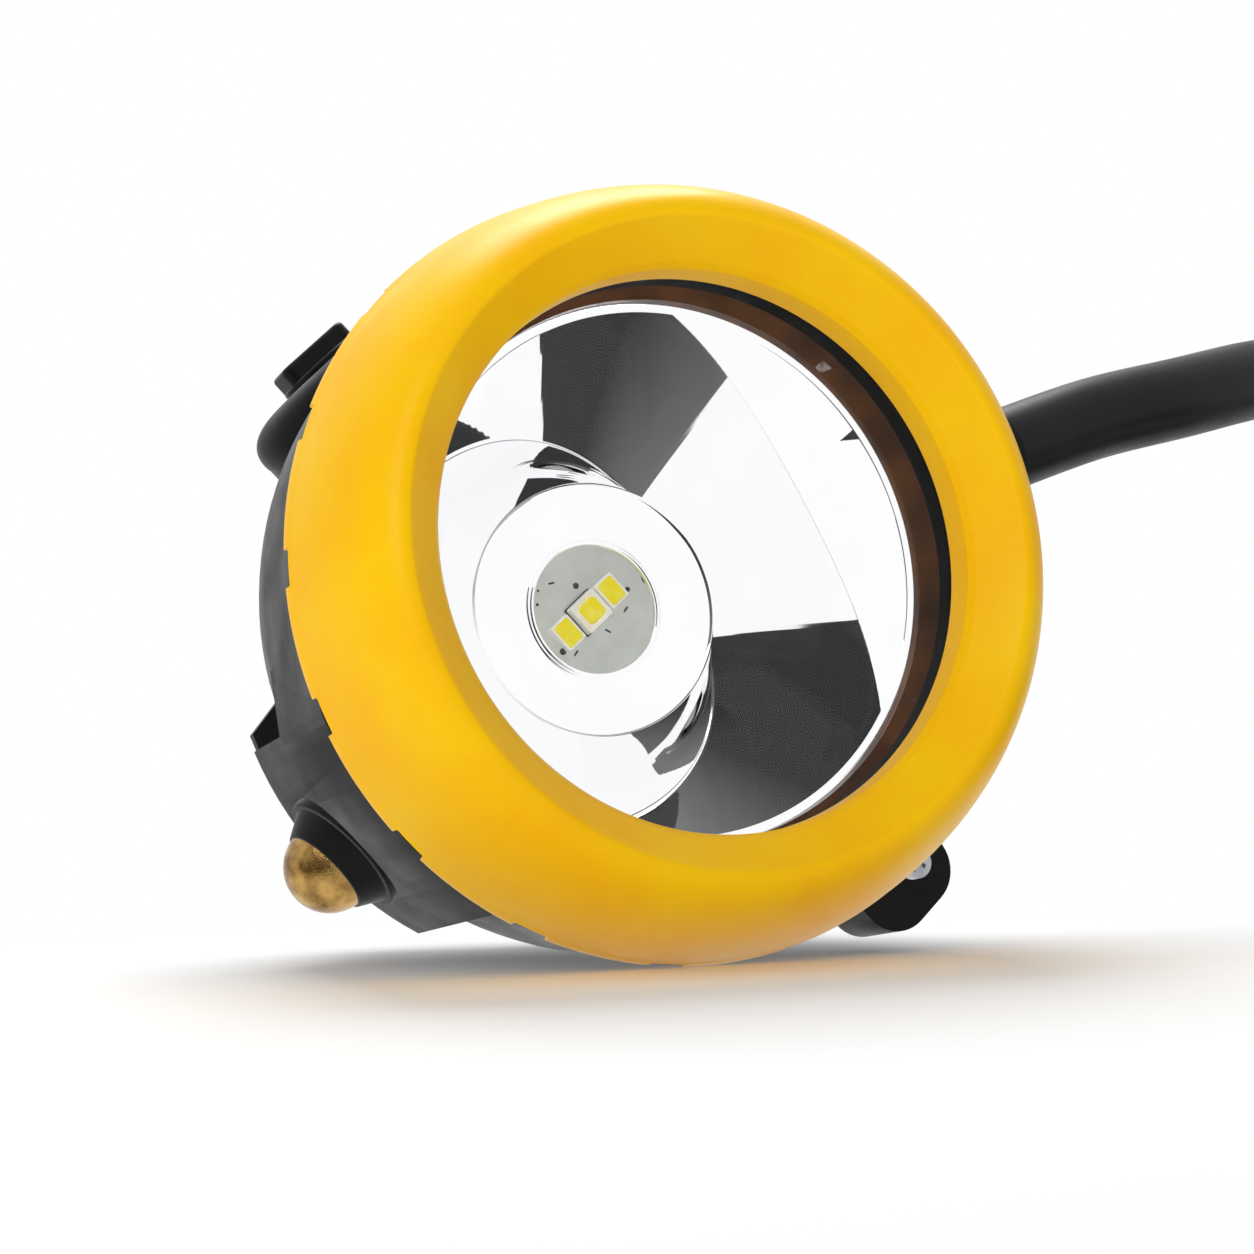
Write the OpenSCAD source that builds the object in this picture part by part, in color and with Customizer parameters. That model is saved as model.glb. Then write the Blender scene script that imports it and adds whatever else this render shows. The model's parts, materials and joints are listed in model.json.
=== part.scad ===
// Miner's cap lamp: headpiece with its cable, lying on a flat surface.
// The lamp is drawn about its own light axis, +Z along the light, with the bezel's rear rim at
// z = 0, and is then laid down on its bezel, lock lug and charging pad by lay().

/* [Bezel] */
// Outer diameter of the bezel's rear rim
bezel_d = 76.6; // [68:0.1:86]
// Inset of the crest, the bezel's foremost circle, from its rear rim
crest_in = 7.1; // [6:0.1:8]
// Wall of the bezel at its rear rim
bezel_wall = 3.6; // [3.2:0.1:4.5]
// Overlap of the lip on the lens
lip_lap = 2.4; // [1.5:0.1:4]
// Thickness of the lip that holds the lens
lip_t = 3.5; // [2.5:0.1:6]
// Height of the crest above the lip's front edge
crest_rise = 4.2; // [2.5:0.1:6]
// Number of grip notches in the rear rim
notch_count = 17; // [8:1:24]
// Width of a grip notch
notch_w = 3.4; // [1.5:0.1:5]
// Height of a grip notch along the light axis
notch_h = 1.2; // [0.5:0.1:3]
// Depth of a grip notch into the rim
notch_deep = 1.7; // [0.5:0.1:2.2]
// Angle of the first notch round the light axis
notch_turn = 17.4; // [0:0.1:21]

/* [Lens and seals] */
// Thickness of the lens
lens_t = 3.5; // [2:0.1:6]
// Radial clearance round the lens
lens_gap = 0.2; // [0.1:0.05:0.5]
// Thickness of the lens gasket
gasket_t = 2; // [1:0.1:3]
// Thickness of the slip ring under the lip
slip_t = 0.75; // [0.4:0.05:1.5]
// Clearance between the slip ring and the lip
slip_gap = 0.05; // [0.02:0.01:0.2]
// Height of the spacer ring under the lens
spacer_h = 1.8; // [1:0.1:4]
// Section diameter of the rim seal under the bezel
rim_seal_d = 1.3; // [0.8:0.1:1.4]

/* [Reflector and lights] */
// Inset of the mirror's rim from the lens's edge
mirror_in = 3.3; // [3.2:0.1:7]
// Height of the mirror's rim above the flange
mirror_rise = 0.8; // [0.3:0.1:1.6]
// Depth of the mirror's floor below the flange
mirror_deep = 19.2; // [14:0.1:26]
// Width of the mirror's cone, from its rim in to its floor
cone_w = 12.8; // [9:0.1:13]
// Distance of the light hole's edge in from the light board's edge
light_hole_in = 5.3; // [5.2:0.1:6.2]
// Wall thickness of the reflector
mirror_t = 1.1; // [0.8:0.1:1.6]
// Height of the neck between the reflector's floor and the light board
neck_h = 1; // [0.9:0.1:2.5]
// Diameter of the light board
board_d = 25; // [22.5:0.1:27.5]
// Thickness of the light board
board_t = 1.6; // [0.8:0.1:2.4]
// Side of the square main light
main_side = 3.1; // [2:0.1:3.5]
// Width of a side light, along the row
side_w = 2.6; // [1.5:0.1:2.8]
// Length of a side light, across the row
side_l = 3.2; // [2:0.1:6]
// Spacing of the lights along the row
row_pitch = 3.25; // [3.2:0.05:3.6]
// Height of a light's package
light_h = 0.6; // [0.4:0.05:1]
// Height of the main light's package
main_h = 1.1; // [0.6:0.05:1.4]

/* [Shell] */
// Inset of the shell's shoulder from the bezel's rear rim
shell_in = 1.4; // [0.5:0.1:2]
// Inward lean of the shell's side over its straight part
shell_lean = 0.7; // [0.2:0.1:2]
// Length of the straight part behind the parting plane
straight_l = 15; // [10:0.1:18]
// Inset of the flat back from the shell's shoulder
back_in = 16.9; // [15:0.1:17.5]
// Wall thickness of the shell
wall = 2.6; // [1.8:0.1:3.2]
// Thickness of the shell's back
floor_t = 2.8; // [2:0.1:5]
// Gap between the bezel's rear rim and the shell's shoulder
shoulder_gap = 1.5; // [1.4:0.1:2.5]
// Radial thickness of the threaded collar
collar_t = 5; // [4:0.1:5.4]
// Height of the threaded collar above the parting plane
collar_h = 4.8; // [4:0.1:5]
// Radial clearance between the collar and the bezel
thread_gap = 0.1; // [0.05:0.01:0.3]
// Room behind the heat sink
back_room = 10.2; // [9.6:0.1:13]

/* [Heat sink and driver] */
// Room between the heat sink's edge and the shell's wall
sink_room = 7.6; // [7:0.1:9]
// Thickness of the heat sink
sink_t = 2.1; // [1.5:0.1:4]
// Distance of the heat sink's screws in from its edge
sink_screw_in = 4; // [3.5:0.1:4.5]
// Radius of a heat sink screw's shank
sink_screw_r = 1.25; // [1:0.05:1.4]
// Length of the driver board
driver_l = 24; // [21:0.1:26.5]
// Width of the driver board
driver_w = 17; // [15:0.1:17.5]
// Thickness of the driver board
driver_t = 1.6; // [0.8:0.1:2]
// Height of the driver board's pillars above the shell's floor
driver_stand = 4; // [3.5:0.1:4.4]
// Height of the driver board's coil
driver_coil_h = 2.8; // [2:0.1:3.2]

/* [Lock lug] */
// Reach of the lug beyond the shell's shoulder
lug_reach = 6.2; // [5:0.1:12]
// Width of the lug
lug_w = 11.3; // [8:0.1:20]
// Shift of the lug's middle round the shell
lug_shift = -2.15; // [-5:0.05:5]
// Thickness of the lug along the light axis
lug_t = 7.5; // [5:0.1:10]
// Corner radius of the lug
lug_r = 4; // [2:0.1:4]
// Distance of the lock screw beyond the shell's shoulder
lock_out = 1.5; // [1.3:0.1:2.4]
// Head diameter of the lock screw
lock_head_d = 3.3; // [2.6:0.1:4]

/* [Charging pad and stud] */
// Rise of the pad above the shell's shoulder
pad_rise = 0.3; // [0:0.1:1.5]
// Angle of the pad's open end round the light axis
pad_from = -110.4; // [-114:0.1:-107]
// Angle of the pad's closed end round the light axis
pad_to = -71; // [-76:0.1:-66]
// Distance from the parting plane to the pad's rear edge
pad_back = 29; // [28:0.1:31]
// Radius of the pad's rear edge
pad_round = 1.5; // [0.5:0.1:2.2]
// Distance from the parting plane to the stud's axis
stud_z = 21; // [20:0.1:21.5]
// Radius of the stud's brass dome
dome_r = 4.6; // [4.2:0.1:4.7]
// Radius of the stud's shank
shank_r = 2; // [1.5:0.1:2.2]
// Height of the conical collar above the pad
cone_h = 2.6; // [1.5:0.1:5]
// Base diameter of the conical collar
cone_d = 13.6; // [11.5:0.1:14]
// Top diameter of the conical collar
cone_top_d = 9.6; // [9:0.1:11]

/* [Switch] */
// Angle of the switch round the light axis
switch_turn = 181; // [177:1:191]
// Distance of the switch's axis behind the heat sink
switch_drop = 4; // [3.9:0.1:4.4]
// Distance of the rotor's inner end from the shell's wall
rotor_in = 9.3; // [9:0.1:11]
// Height of the fixed boss above the shell
boss_h = 4.4; // [3.4:0.1:5.2]
// Diameter of the knob's round base
knob_d = 18; // [15:0.1:18.4]
// Height of the knob's round base
knob_h = 1.1; // [0.9:0.1:2]
// Length of the bar grip
bar_l = 9; // [7:0.1:12]
// Thickness of the bar grip
bar_t = 4.8; // [4.6:0.1:6]
// Height of the bar grip
bar_h = 2; // [1.5:0.1:4]
// Turn of the bar grip on its base
bar_turn = -90; // [-120:1:-60]
// Radius of the switch shaft
shaft_r = 2; // [1.6:0.1:2.3]
// Running clearance of the switch shaft
shaft_gap = 0.04; // [0.02:0.01:0.08]

/* [Helmet hook] */
// Width of the hook plate
hook_w = 20; // [16:0.1:22]
// Thickness of the hook plate
hook_t = 1.2; // [0.8:0.1:2]
// Gap between the hook's tongue and the shell's back
hook_gap = 3.2; // [2.6:0.1:3.8]
// Length of the hook's tongue
tongue_l = 17; // [14:0.1:22]

/* [Cable] */
// Diameter of the cable
cable_d = 9.4; // [9:0.1:9.6]
// Angle of the cable round the light axis
cable_turn = 68.5; // [66:0.5:74]
// Distance from the parting plane to the cable's axis
cable_z = 16; // [15.5:0.1:16.5]
// Diameter of the cable boss on the shell
inlet_d = 18; // [17.4:0.1:20]
// Reach of the cable boss beyond the shell's shoulder
inlet_reach = 1.6; // [1:0.1:4]
// Length of the gland nut
gland_l = 6; // [4:0.1:8]
// Length of the strain relief beyond the gland nut
relief_l = 7.5; // [5:0.1:12]
// Diameter of a core's insulation
core_d = 1.8; // [1.2:0.1:2.4]
// Hole diameter of a ring lug
lug_hole_d = 4.3; // [3.2:0.1:5.4]
// Outer diameter of a ring lug
ring_lug_d = 8; // [7:0.1:9]
// Thickness of a ring lug
ring_lug_t = 0.8; // [0.5:0.1:1.2]

/* [Standing] */
// Turn of the lamp about its light axis
rest_roll = -48.7; // [-60:0.1:-40]
// Place of the light axis across the surface
stand_x = -6; // [-20:0.1:20]
// Place of the light axis along the surface
stand_y = -11.5; // [-30:0.1:30]

/* [Hidden] */
$fn = 96;

// Heights along the light axis, from the reflector's flange at z = 0.
lens_z = spacer_h;
gasket_z = lens_z + lens_t;
slip_z = gasket_z + gasket_t;
lip_z = slip_z + slip_t + slip_gap;
edge_z = lip_z + lip_t;
crest_z = edge_z + crest_rise;
bore_z = collar_h + 0.3;
light_z = -(mirror_deep + mirror_t + neck_h);
board_z = light_z - board_t;
sink_z = board_z - sink_t;
floor_z = sink_z - back_room;
back_z = floor_z - floor_t;
driver_z = floor_z + driver_stand;
driver_top = driver_z + driver_t;
switch_z = sink_z - switch_drop;

// Radii about the light axis.
bezel_r = bezel_d / 2;
crest_r = bezel_r - crest_in;
bore_r = bezel_r - bezel_wall;
collar_r = bore_r - thread_gap;
seat_r = collar_r - collar_t;
chamber_r = seat_r + 0.6;
lens_r = seat_r - lens_gap;
opening_r = lens_r - lip_lap;
mirror_r = lens_r - mirror_in;
bead_r = mirror_r + 0.8;
mirror_floor_r = mirror_r - cone_w;
shell_r = bezel_r - shell_in;
waist_r = shell_r - shell_lean;
back_r = shell_r - back_in;
sink_r = waist_r - wall - sink_room;
flange_t = 1.2;
seat_t = 2.5;

// A point on a cubic Bezier curve with four control points.
function bezier(p, t) =
  pow(1 - t, 3) * p[0] + 3 * t * pow(1 - t, 2) * p[1] + 3 * t * t * (1 - t) * p[2] + pow(t, 3) * p[3];

// n + 1 points along a cubic Bezier curve.
function curve(p, n) = [for (i = [0:n]) bezier(p, i / n)];

// A quarter circle from angle a to angle b about a centre.
function arc(c, r, a, b, n = 6) = [for (i = [0:n]) c + r * [cos(a + (b - a) * i / n), sin(a + (b - a) * i / n)]];

bezel_outline = curve([[bezel_r, 0], [bezel_r - 1.2, 0.52 * crest_z], [crest_r + 3.2, crest_z],
                       [crest_r, crest_z]], 12);
shell_outline = curve([[waist_r, -straight_l],
                       [waist_r - 0.6, -straight_l + 0.39 * (back_z + straight_l)],
                       [1.55 * back_r, back_z], [back_r, back_z]], 12);
shell_inside = curve([[waist_r - wall, -straight_l],
                      [waist_r - 0.6 - wall, -straight_l + 0.39 * (floor_z + straight_l)],
                      [1.55 * back_r - wall, floor_z], [back_r - wall, floor_z]], 12);

// The shell's outer and inner radius at a height below the straight part.
function outer_at(z) = lookup(z, [for (i = [12:-1:0]) [shell_outline[i][1], shell_outline[i][0]]]);
function inner_at(z) = lookup(z, [for (i = [12:-1:0]) [shell_inside[i][1], shell_inside[i][0]]]);

// Tilt of the light axis at which the bezel's rim and the shell's side both touch the surface.
rest_tilt = min([for (p = shell_outline) atan((bezel_r - p[0]) / -p[1])]);

// Lays the lamp down: light axis level and along -Y, rolled, tilted up and set on z = 0.
module lay() {
  translate([stand_x, stand_y, bezel_r * cos(rest_tilt)])
    rotate([-rest_tilt, 0, 0])
      rotate([90, 0, 0])
        rotate([0, 0, rest_roll])
          children();
}

// Turns local +Z to point outwards from the light axis at an angle and a height.
module radial(turn, z) {
  rotate([0, 0, turn])
    translate([0, 0, z])
      rotate([0, 90, 0])
        children();
}

// A flat ring from z0 to z1.
module ring(r_in, r_out, z0, z1) {
  rotate_extrude()
    polygon([[r_in, z0], [r_out, z0], [r_out, z1], [r_in, z1]]);
}

// A cylinder from z0 to z1.
module rod(r, z0, z1, fn = 96) {
  translate([0, 0, z0])
    cylinder(r = r, h = z1 - z0, $fn = fn);
}

// Rings swept along points: each ring stands square to the path.
function unit(v) = v / norm(v);
function tangent(p, i) = unit(p[min(i + 1, len(p) - 1)] - p[max(i - 1, 0)]);
function ring_at(c, t, r, n, aside) = let (
    side = unit(cross(t, aside)),
    up = cross(side, t)
  ) [for (k = [0:n - 1]) c + r * (cos((k + 0.5) * 360 / n) * side + sin((k + 0.5) * 360 / n) * up)];

// A closed tube of n sides through points, with given end directions.
module tube(p, r, n, first, last, aside = [0, 0, 1]) {
  m = len(p);
  rings = [for (i = [0:m - 1]) ring_at(p[i], i == 0 ? first : i == m - 1 ? last : tangent(p, i), r, n, aside)];
  points = [for (q = rings) for (v = q) v];
  sides = [for (i = [0:m - 2]) for (k = [0:n - 1]) let (a = i * n + k, b = i * n + (k + 1) % n)
    each [[a, b, a + n], [b, b + n, a + n]]];
  caps = [for (k = [1:n - 2]) each [[0, k + 1, k], [(m - 1) * n, (m - 1) * n + k, (m - 1) * n + k + 1]]];
  polyhedron(points = points, faces = concat(sides, caps));
}

// Smooth curve through points by Catmull-Rom steps.
function smooth(p, n) = [for (i = [0:len(p) - 2]) for (k = [0:n - 1]) let (
    t = k / n, a = p[max(i - 1, 0)], b = p[i], c = p[i + 1], d = p[min(i + 2, len(p) - 1)]
  ) 0.5 * (2 * b + (c - a) * t + (2 * a - 5 * b + 4 * c - d) * t * t + (3 * b - a - 3 * c + d) * t * t * t),
  p[len(p) - 1]];

// A thin round wire along a smooth curve through points, square to its ends; aside is never along it.
module wire(points, r, aside) {
  last = len(points) - 1;
  tube(smooth(points, 4), r, 8, unit(points[1] - points[0]), unit(points[last] - points[last - 1]), aside);
}

// Places a child at each angle of a list, on a circle.
module around(turns, r) {
  for (a = turns)
    rotate([0, 0, a])
      translate([r, 0, 0])
        children();
}

// Bezel -----------------------------------------------------------------

module bezel_body() {
  rotate_extrude($fn = 192)
    polygon(concat(bezel_outline,
      [[crest_r - 0.6, crest_z - 0.5],
       [opening_r + 0.2, edge_z + 0.2],
       [opening_r, edge_z],
       [opening_r, lip_z],
       [chamber_r, lip_z],
       [chamber_r, bore_z],
       [bore_r, bore_z],
       [bore_r, 0]]));
}

module bezel() {
  color("#f7b912")
    lay()
      difference() {
        bezel_body();
        for (i = [0:notch_count - 1])
          rotate([0, 0, notch_turn + i * 360 / notch_count])
            translate([bezel_r - notch_deep, -notch_w / 2, -1])
              cube([notch_deep + 1, notch_w, notch_h + 1]);
      }
}

module slip_ring() {
  color("#1c1b1a") lay() ring(opening_r + 0.5, chamber_r - 0.2, slip_z, slip_z + slip_t);
}

// Lens and seals --------------------------------------------------------

module lens_gasket() {
  color("#141414") lay() ring(opening_r + 0.3, lens_r, gasket_z, slip_z);
}

module lens() {
  color("#dfeaf0", 0.35)
    lay()
      rotate_extrude($fn = 192)
        polygon([[0, lens_z], [lens_r, lens_z], [lens_r, gasket_z - 0.4],
                 [lens_r - 0.4, gasket_z], [0, gasket_z]]);
}

module spacer_ring() {
  color("#a85a1c") lay() ring(opening_r, lens_r, 0, spacer_h);
}

module rim_seal() {
  seal_r = rim_seal_d / 2;
  color("#111111")
    lay()
      rotate_extrude()
        translate([collar_r + seal_r + 0.05, -shoulder_gap + seal_r])
          circle(r = seal_r, $fn = 24);
}

// Reflector and lights --------------------------------------------------

module reflector() {
  slope = cone_w / (mirror_deep + mirror_rise);
  color("#e8ecee")
    lay()
      rotate_extrude($fn = 192)
        polygon([[light_hole_r, -mirror_deep],
                 [mirror_floor_r, -mirror_deep],
                 [mirror_r, mirror_rise],
                 [bead_r, mirror_rise],
                 [bead_r, 0],
                 [lens_r, 0],
                 [lens_r, -flange_t],
                 [mirror_r + mirror_t + 0.2 - slope * flange_t, -flange_t],
                 [mirror_floor_r + mirror_t + 0.2, -mirror_deep - mirror_t],
                 [neck_r, -mirror_deep - mirror_t],
                 [neck_r, light_z],
                 [light_hole_r, light_z]]);
}

board_screw_r = board_d / 2 - 2.1;
light_hole_r = board_d / 2 - light_hole_in;
neck_r = light_hole_r + 1;
board_screw_turns = [35, 215];
lead_turns = [-20, -42];
lead_r = board_d / 2 + 2;
sink_turns = [30, 150, 270];
sink_hole_r = sink_r - sink_screw_in;
sink_head_h = 1.6;
sink_bite = 4.5;

module light_board() {
  color("#c9ccc6")
    lay()
      difference() {
        rod(board_d / 2, board_z, light_z);
        around(board_screw_turns, board_screw_r) rod(1.1, board_z - 1, light_z + 1, 24);
      }
}

module board_screws() {
  color("#b9bcc0")
    lay()
      around(board_screw_turns, board_screw_r) {
        rod(1.9, light_z, light_z + 0.7, 24);
        rod(1, sink_z + 0.4, light_z, 24);
      }
}

// Rectangle centred on the light axis's row position, from z0 up by h.
module chip(y, w, l, z0, h) {
  translate([-l / 2, y - w / 2, z0])
    cube([l, w, h]);
}

module main_light() {
  color("#f2f0e6") lay() chip(0, main_side, main_side, light_z, main_h);
}

module main_emitter() {
  color("#f4d63c") lay() chip(0, main_side - 1, main_side - 1, light_z + main_h, 0.4);
}

module side_lights() {
  color("#f2f0e6")
    lay()
      for (s = [-1, 1])
        chip(s * row_pitch, side_w, side_l, light_z, light_h);
}

module side_emitters() {
  color("#f3dc5a")
    lay()
      for (s = [-1, 1])
        chip(s * row_pitch, side_w - 0.7, side_l - 0.7, light_z + light_h, 0.15);
}

module heat_sink() {
  color("#b7babd")
    lay()
      difference() {
        rod(sink_r, sink_z, board_z);
        around(board_screw_turns, board_screw_r) rod(1.02, sink_z - 1, board_z + 1, 24);
        around(lead_turns, lead_r) rod(1.1, sink_z - 1, board_z + 1, 24);
        around(sink_turns, sink_hole_r) rod(sink_screw_r + 0.35, sink_z - 1, board_z + 1, 24);
      }
}

module sink_screws() {
  color("#9fa3a8")
    lay()
      around(sink_turns, sink_hole_r) {
        rod(2 * sink_screw_r + 0.1, board_z, board_z + sink_head_h, 24);
        rod(sink_screw_r, sink_z - sink_bite, board_z, 24);
      }
}

// Shell -----------------------------------------------------------------

pad_r = shell_r + pad_rise;
boss_top = outer_at(switch_z) + boss_h;
inlet_top = shell_r + inlet_reach;
bush_r = shaft_r + 1.6;
spigot_r = shank_r + 1.5;
tag_flat = inner_at(-stud_z) - 0.5;
tag_face_r = 7;
gland_r = inlet_d / 2 - 2;
lock_at = [shell_r + lock_out, -0.5];
insert_r = 1.9;
driver_mid = [5, -3];
driver_bite = 3;
driver_holes = [[-1, -1], [1, 1]];
hook_holes = [2, 11];

function driver_hole(i) = driver_mid + [driver_holes[i][0] * (driver_l / 2 - 3), driver_holes[i][1] * (driver_w / 2 - 3)];

// The outside of the shell of revolution, solid.
module shell_outside() {
  rotate_extrude($fn = 192)
    polygon(concat([[0, back_z], [0, collar_h], [collar_r - 0.4, collar_h], [collar_r, collar_h - 0.4],
                    [collar_r, -shoulder_gap], [shell_r - 0.5, -shoulder_gap],
                    [shell_r, -shoulder_gap - 0.5]],
                   shell_outline));
}

// The room inside the shell of revolution.
module shell_room() {
  rotate_extrude($fn = 192)
    polygon(concat([[0, floor_z], [0, collar_h + 1], [seat_r, collar_h + 1], [seat_r, -flange_t],
                    [lens_r - 2, -flange_t], [lens_r - 2, -flange_t - seat_t],
                    [waist_r - wall, -flange_t - seat_t - 3]],
                   shell_inside));
}

// The lug that holds the lock screw, beside the shell.
module lug_body() {
  reach = shell_r + lug_reach;
  translate([0, lug_shift, -shoulder_gap - lug_t])
    linear_extrude(height = lug_t)
      union() {
        translate([shell_r - 8, -lug_w / 2]) square([8 + lug_reach - lug_r, lug_w]);
        translate([shell_r - 8, -lug_w / 2 + lug_r]) square([8 + lug_reach, lug_w - 2 * lug_r]);
        for (s = [-1, 1])
          translate([reach - lug_r, s * (lug_w / 2 - lug_r)]) circle(r = lug_r, $fn = 48);
      }
}

// The raised charging pad, with a ramp at its open end.
module pad_body() {
  low_r = collar_r - 1;
  rotate([0, 0, pad_from])
    rotate_extrude(angle = pad_to - pad_from, $fn = 192)
      polygon(concat([[low_r, -shoulder_gap - 0.6], [low_r, -pad_back + 6], [outer_at(-pad_back) - 1, -pad_back]],
                     arc([pad_r - pad_round, -pad_back + pad_round], pad_round, -90, 0),
                     [[pad_r, -shoulder_gap - 0.6]]));
  rotate([0, 0, pad_from]) {
    translate([0, 0, -pad_back + 0.4])
      linear_extrude(height = 1.2)
        polygon([[low_r - 3, 1], [pad_r - 0.5, 1], [pad_r - 0.5, -1.7],
                 [outer_at(-pad_back) - 0.4, -4.4], [low_r - 3, -4.4]]);
    translate([0, 0, -0.6 * pad_back])
      linear_extrude(height = 0.6 * pad_back - shoulder_gap - 0.6)
        polygon([[low_r - 3, 1], [pad_r, 1], [pad_r, 0], [0.954 * pad_r, -0.17 * pad_r], [low_r - 3, -0.17 * pad_r]]);
  }
}

// The round boss under the switch knob, flush with the lamp's back.
module boss_body() {
  foot_r = knob_d / 2 + 2.4;
  back = switch_z - back_z;
  intersection() {
    union() {
      rod(foot_r, back_r, boss_top - 2.4);
      translate([0, 0, boss_top - 2.4]) cylinder(r1 = foot_r, r2 = foot_r - 0.8, h = 1.2);
      translate([0, 0, boss_top - 1.2]) cylinder(r1 = foot_r - 0.8, r2 = knob_d / 2 + 0.2, h = 1.2);
    }
    translate([-2 * foot_r, -foot_r, 0]) cube([2 * foot_r + back, 2 * foot_r, boss_top + 1]);
  }
}

// The pocket for the charging rack's key, open at the pad's end.
module key_pocket() {
  rotate([0, 0, pad_from - 9])
    rotate_extrude(angle = 24, $fn = 192)
      polygon([[pad_r - 3, -pad_back + 2], [pad_r - 0.9, -pad_back + 2],
               [pad_r - 0.9, -pad_back + 8.6], [pad_r - 3, -pad_back + 8.6]]);
}

module shell() {
  color("#1b1b1c")
    lay()
      difference() {
        union() {
          difference() {
            union() {
              shell_outside();
              lug_body();
              pad_body();
              radial(switch_turn, switch_z) {
                boss_body();
              }
              radial(cable_turn, -cable_z) rod(inlet_d / 2, shell_r - 6, inlet_top);
            }
            shell_room();
          }
          shell_posts();
        }
        shell_holes();
      }
}

// Posts and thickened places inside the shell.
module shell_posts() {
  around(sink_turns, sink_hole_r) rod(3.2, floor_z - 0.5, sink_z);
  for (i = [0, 1])
    translate(driver_hole(i)) rod(2.6, floor_z - 0.5, driver_z);
  rotate([0, 0, cable_turn])
    for (u = hook_holes)
      translate([u, 0, 0]) rod(3.2, floor_z - 0.5, floor_z + 2.6);
  radial(switch_turn, switch_z) rod(bush_r + 1.2, inner_at(switch_z) - 1.2, inner_at(switch_z) + 1);
  radial(-90, -stud_z) rod(6, tag_flat, tag_flat + 1.5);
}

// Bores, pockets and screw holes in the shell.
module shell_holes() {
  around(sink_turns, sink_hole_r) rod(sink_screw_r + 0.03, sink_z - sink_bite - 0.5, sink_z + 1, 24);
  for (i = [0, 1])
    translate(driver_hole(i)) rod(1.05, floor_z, driver_z + 1, 24);
  rotate([0, 0, cable_turn])
    for (u = hook_holes)
      translate([u, 0, 0]) rod(1.28, back_z - 1, floor_z + 1.4, 24);
  radial(switch_turn, switch_z) rod(bush_r, inner_at(switch_z) - 3, boss_top + 1);
  radial(-90, -stud_z) {
    rod(tag_face_r, tag_flat - 4, tag_flat);
    rod(spigot_r + 0.05, tag_flat - 1, pad_r + 2);
    rod(cone_d / 2 + 0.1, pad_r - 0.8, pad_r + 3);
  }
  radial(cable_turn, -cable_z) {
    rod(cable_r + 0.2, cable_in - 1, inlet_top + 1);
    rod(gland_r, shell_r - 3, inlet_top + 1);
  }
  translate([lock_at[0], lock_at[1], 0]) {
    rod(insert_r, -shoulder_gap - 6, -shoulder_gap - 1);
    rod(1, -shoulder_gap - 2, -shoulder_gap + 1, 32);
  }
  key_pocket();
}

// Driver board ----------------------------------------------------------

module driver_board() {
  color("#1f6b3a")
    lay()
      difference() {
        translate([driver_mid[0] - driver_l / 2, driver_mid[1] - driver_w / 2, driver_z])
          cube([driver_l, driver_w, driver_t]);
        for (i = [0, 1])
          translate(driver_hole(i)) rod(1.2, driver_z - 1, driver_z + driver_t + 1, 24);
      }
}

module driver_parts() {
  color("#2a2a2e")
    lay()
      translate([driver_mid[0], driver_mid[1], driver_top]) {
        translate([-0.06 * driver_l, 0.06 * driver_w, 0]) rod(0.2 * driver_w, 0, driver_coil_h);
        translate([-0.34 * driver_l, 0.3 * driver_w, 0]) rod(0.12 * driver_w, 0, 0.85 * driver_coil_h);
        translate([-0.04 * driver_l, -0.31 * driver_w, 0]) cube([0.18 * driver_l, 0.15 * driver_w, 0.5 * driver_coil_h]);
        translate([0.24 * driver_l, 0, 0]) cube([0.12 * driver_l, 0.14 * driver_w, 0.4 * driver_coil_h]);
      }
}

module driver_screws() {
  color("#b9bcc0")
    lay()
      for (i = [0, 1])
        translate(driver_hole(i)) {
          rod(1.9, driver_top, driver_top + 0.8 * driver_t, 24);
          rod(1, driver_z - driver_bite, driver_top, 24);
        }
}

// Switch ----------------------------------------------------------------

knob_low = boss_top + 0.15;
knob_mid = knob_low + knob_h;
knob_top = knob_mid + bar_h;
clip_z = inner_at(switch_z) - 2;
clip_t = 0.6;
groove_r = shaft_r - 0.5;
rotor_r = switch_drop - 0.5;
rotor_z = inner_at(switch_z) - rotor_in;
rotor_l = 4;
bridge_t = 0.5;
contact_h = 2.4;
base_t = 1.6;
base_z = rotor_z - bridge_t - 0.1 - contact_h - base_t;

module switch_knob() {
  grip = knob_d / 2 - 0.4;
  color("#1d1d1e")
    lay()
      radial(switch_turn, switch_z)
        difference() {
          union() {
            rod(knob_d / 2, knob_low, knob_mid - 0.5);
            translate([0, 0, knob_mid - 0.5]) cylinder(r1 = knob_d / 2, r2 = grip, h = 0.5);
            rotate([0, 0, bar_turn]) {
              translate([-(bar_l - bar_t) / 2, -bar_t / 2, knob_mid - 0.5])
                cube([bar_l - bar_t, bar_t, bar_h + 0.5]);
              for (s = [-1, 1])
                translate([s * (bar_l - bar_t) / 2, 0, 0]) rod(bar_t / 2, knob_mid - 0.5, knob_top);
            }
          }
          rod(shaft_r, knob_low - 1, knob_mid + 0.9);
          rotate([0, 0, bar_turn])
            translate([bar_t / 2, -0.3, knob_top - 0.5]) cube([bar_l, 0.6, 1]);
        }
}

module switch_shaft() {
  color("#a9adb2")
    lay()
      radial(switch_turn, switch_z)
        difference() {
          rod(shaft_r, rotor_z, knob_mid + 0.9);
          rotate_extrude()
            polygon([[groove_r, clip_z], [shaft_r + 1, clip_z], [shaft_r + 1, clip_z + clip_t], [groove_r, clip_z + clip_t]]);
        }
}

module switch_clip() {
  color("#7d8186")
    lay()
      radial(switch_turn, switch_z)
        difference() {
          ring(groove_r, shaft_r + 1.3, clip_z, clip_z + clip_t);
          translate([0, -groove_r * 0.8, clip_z - 1]) cube([shaft_r + 2, groove_r * 1.6, clip_t + 2]);
        }
}

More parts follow.
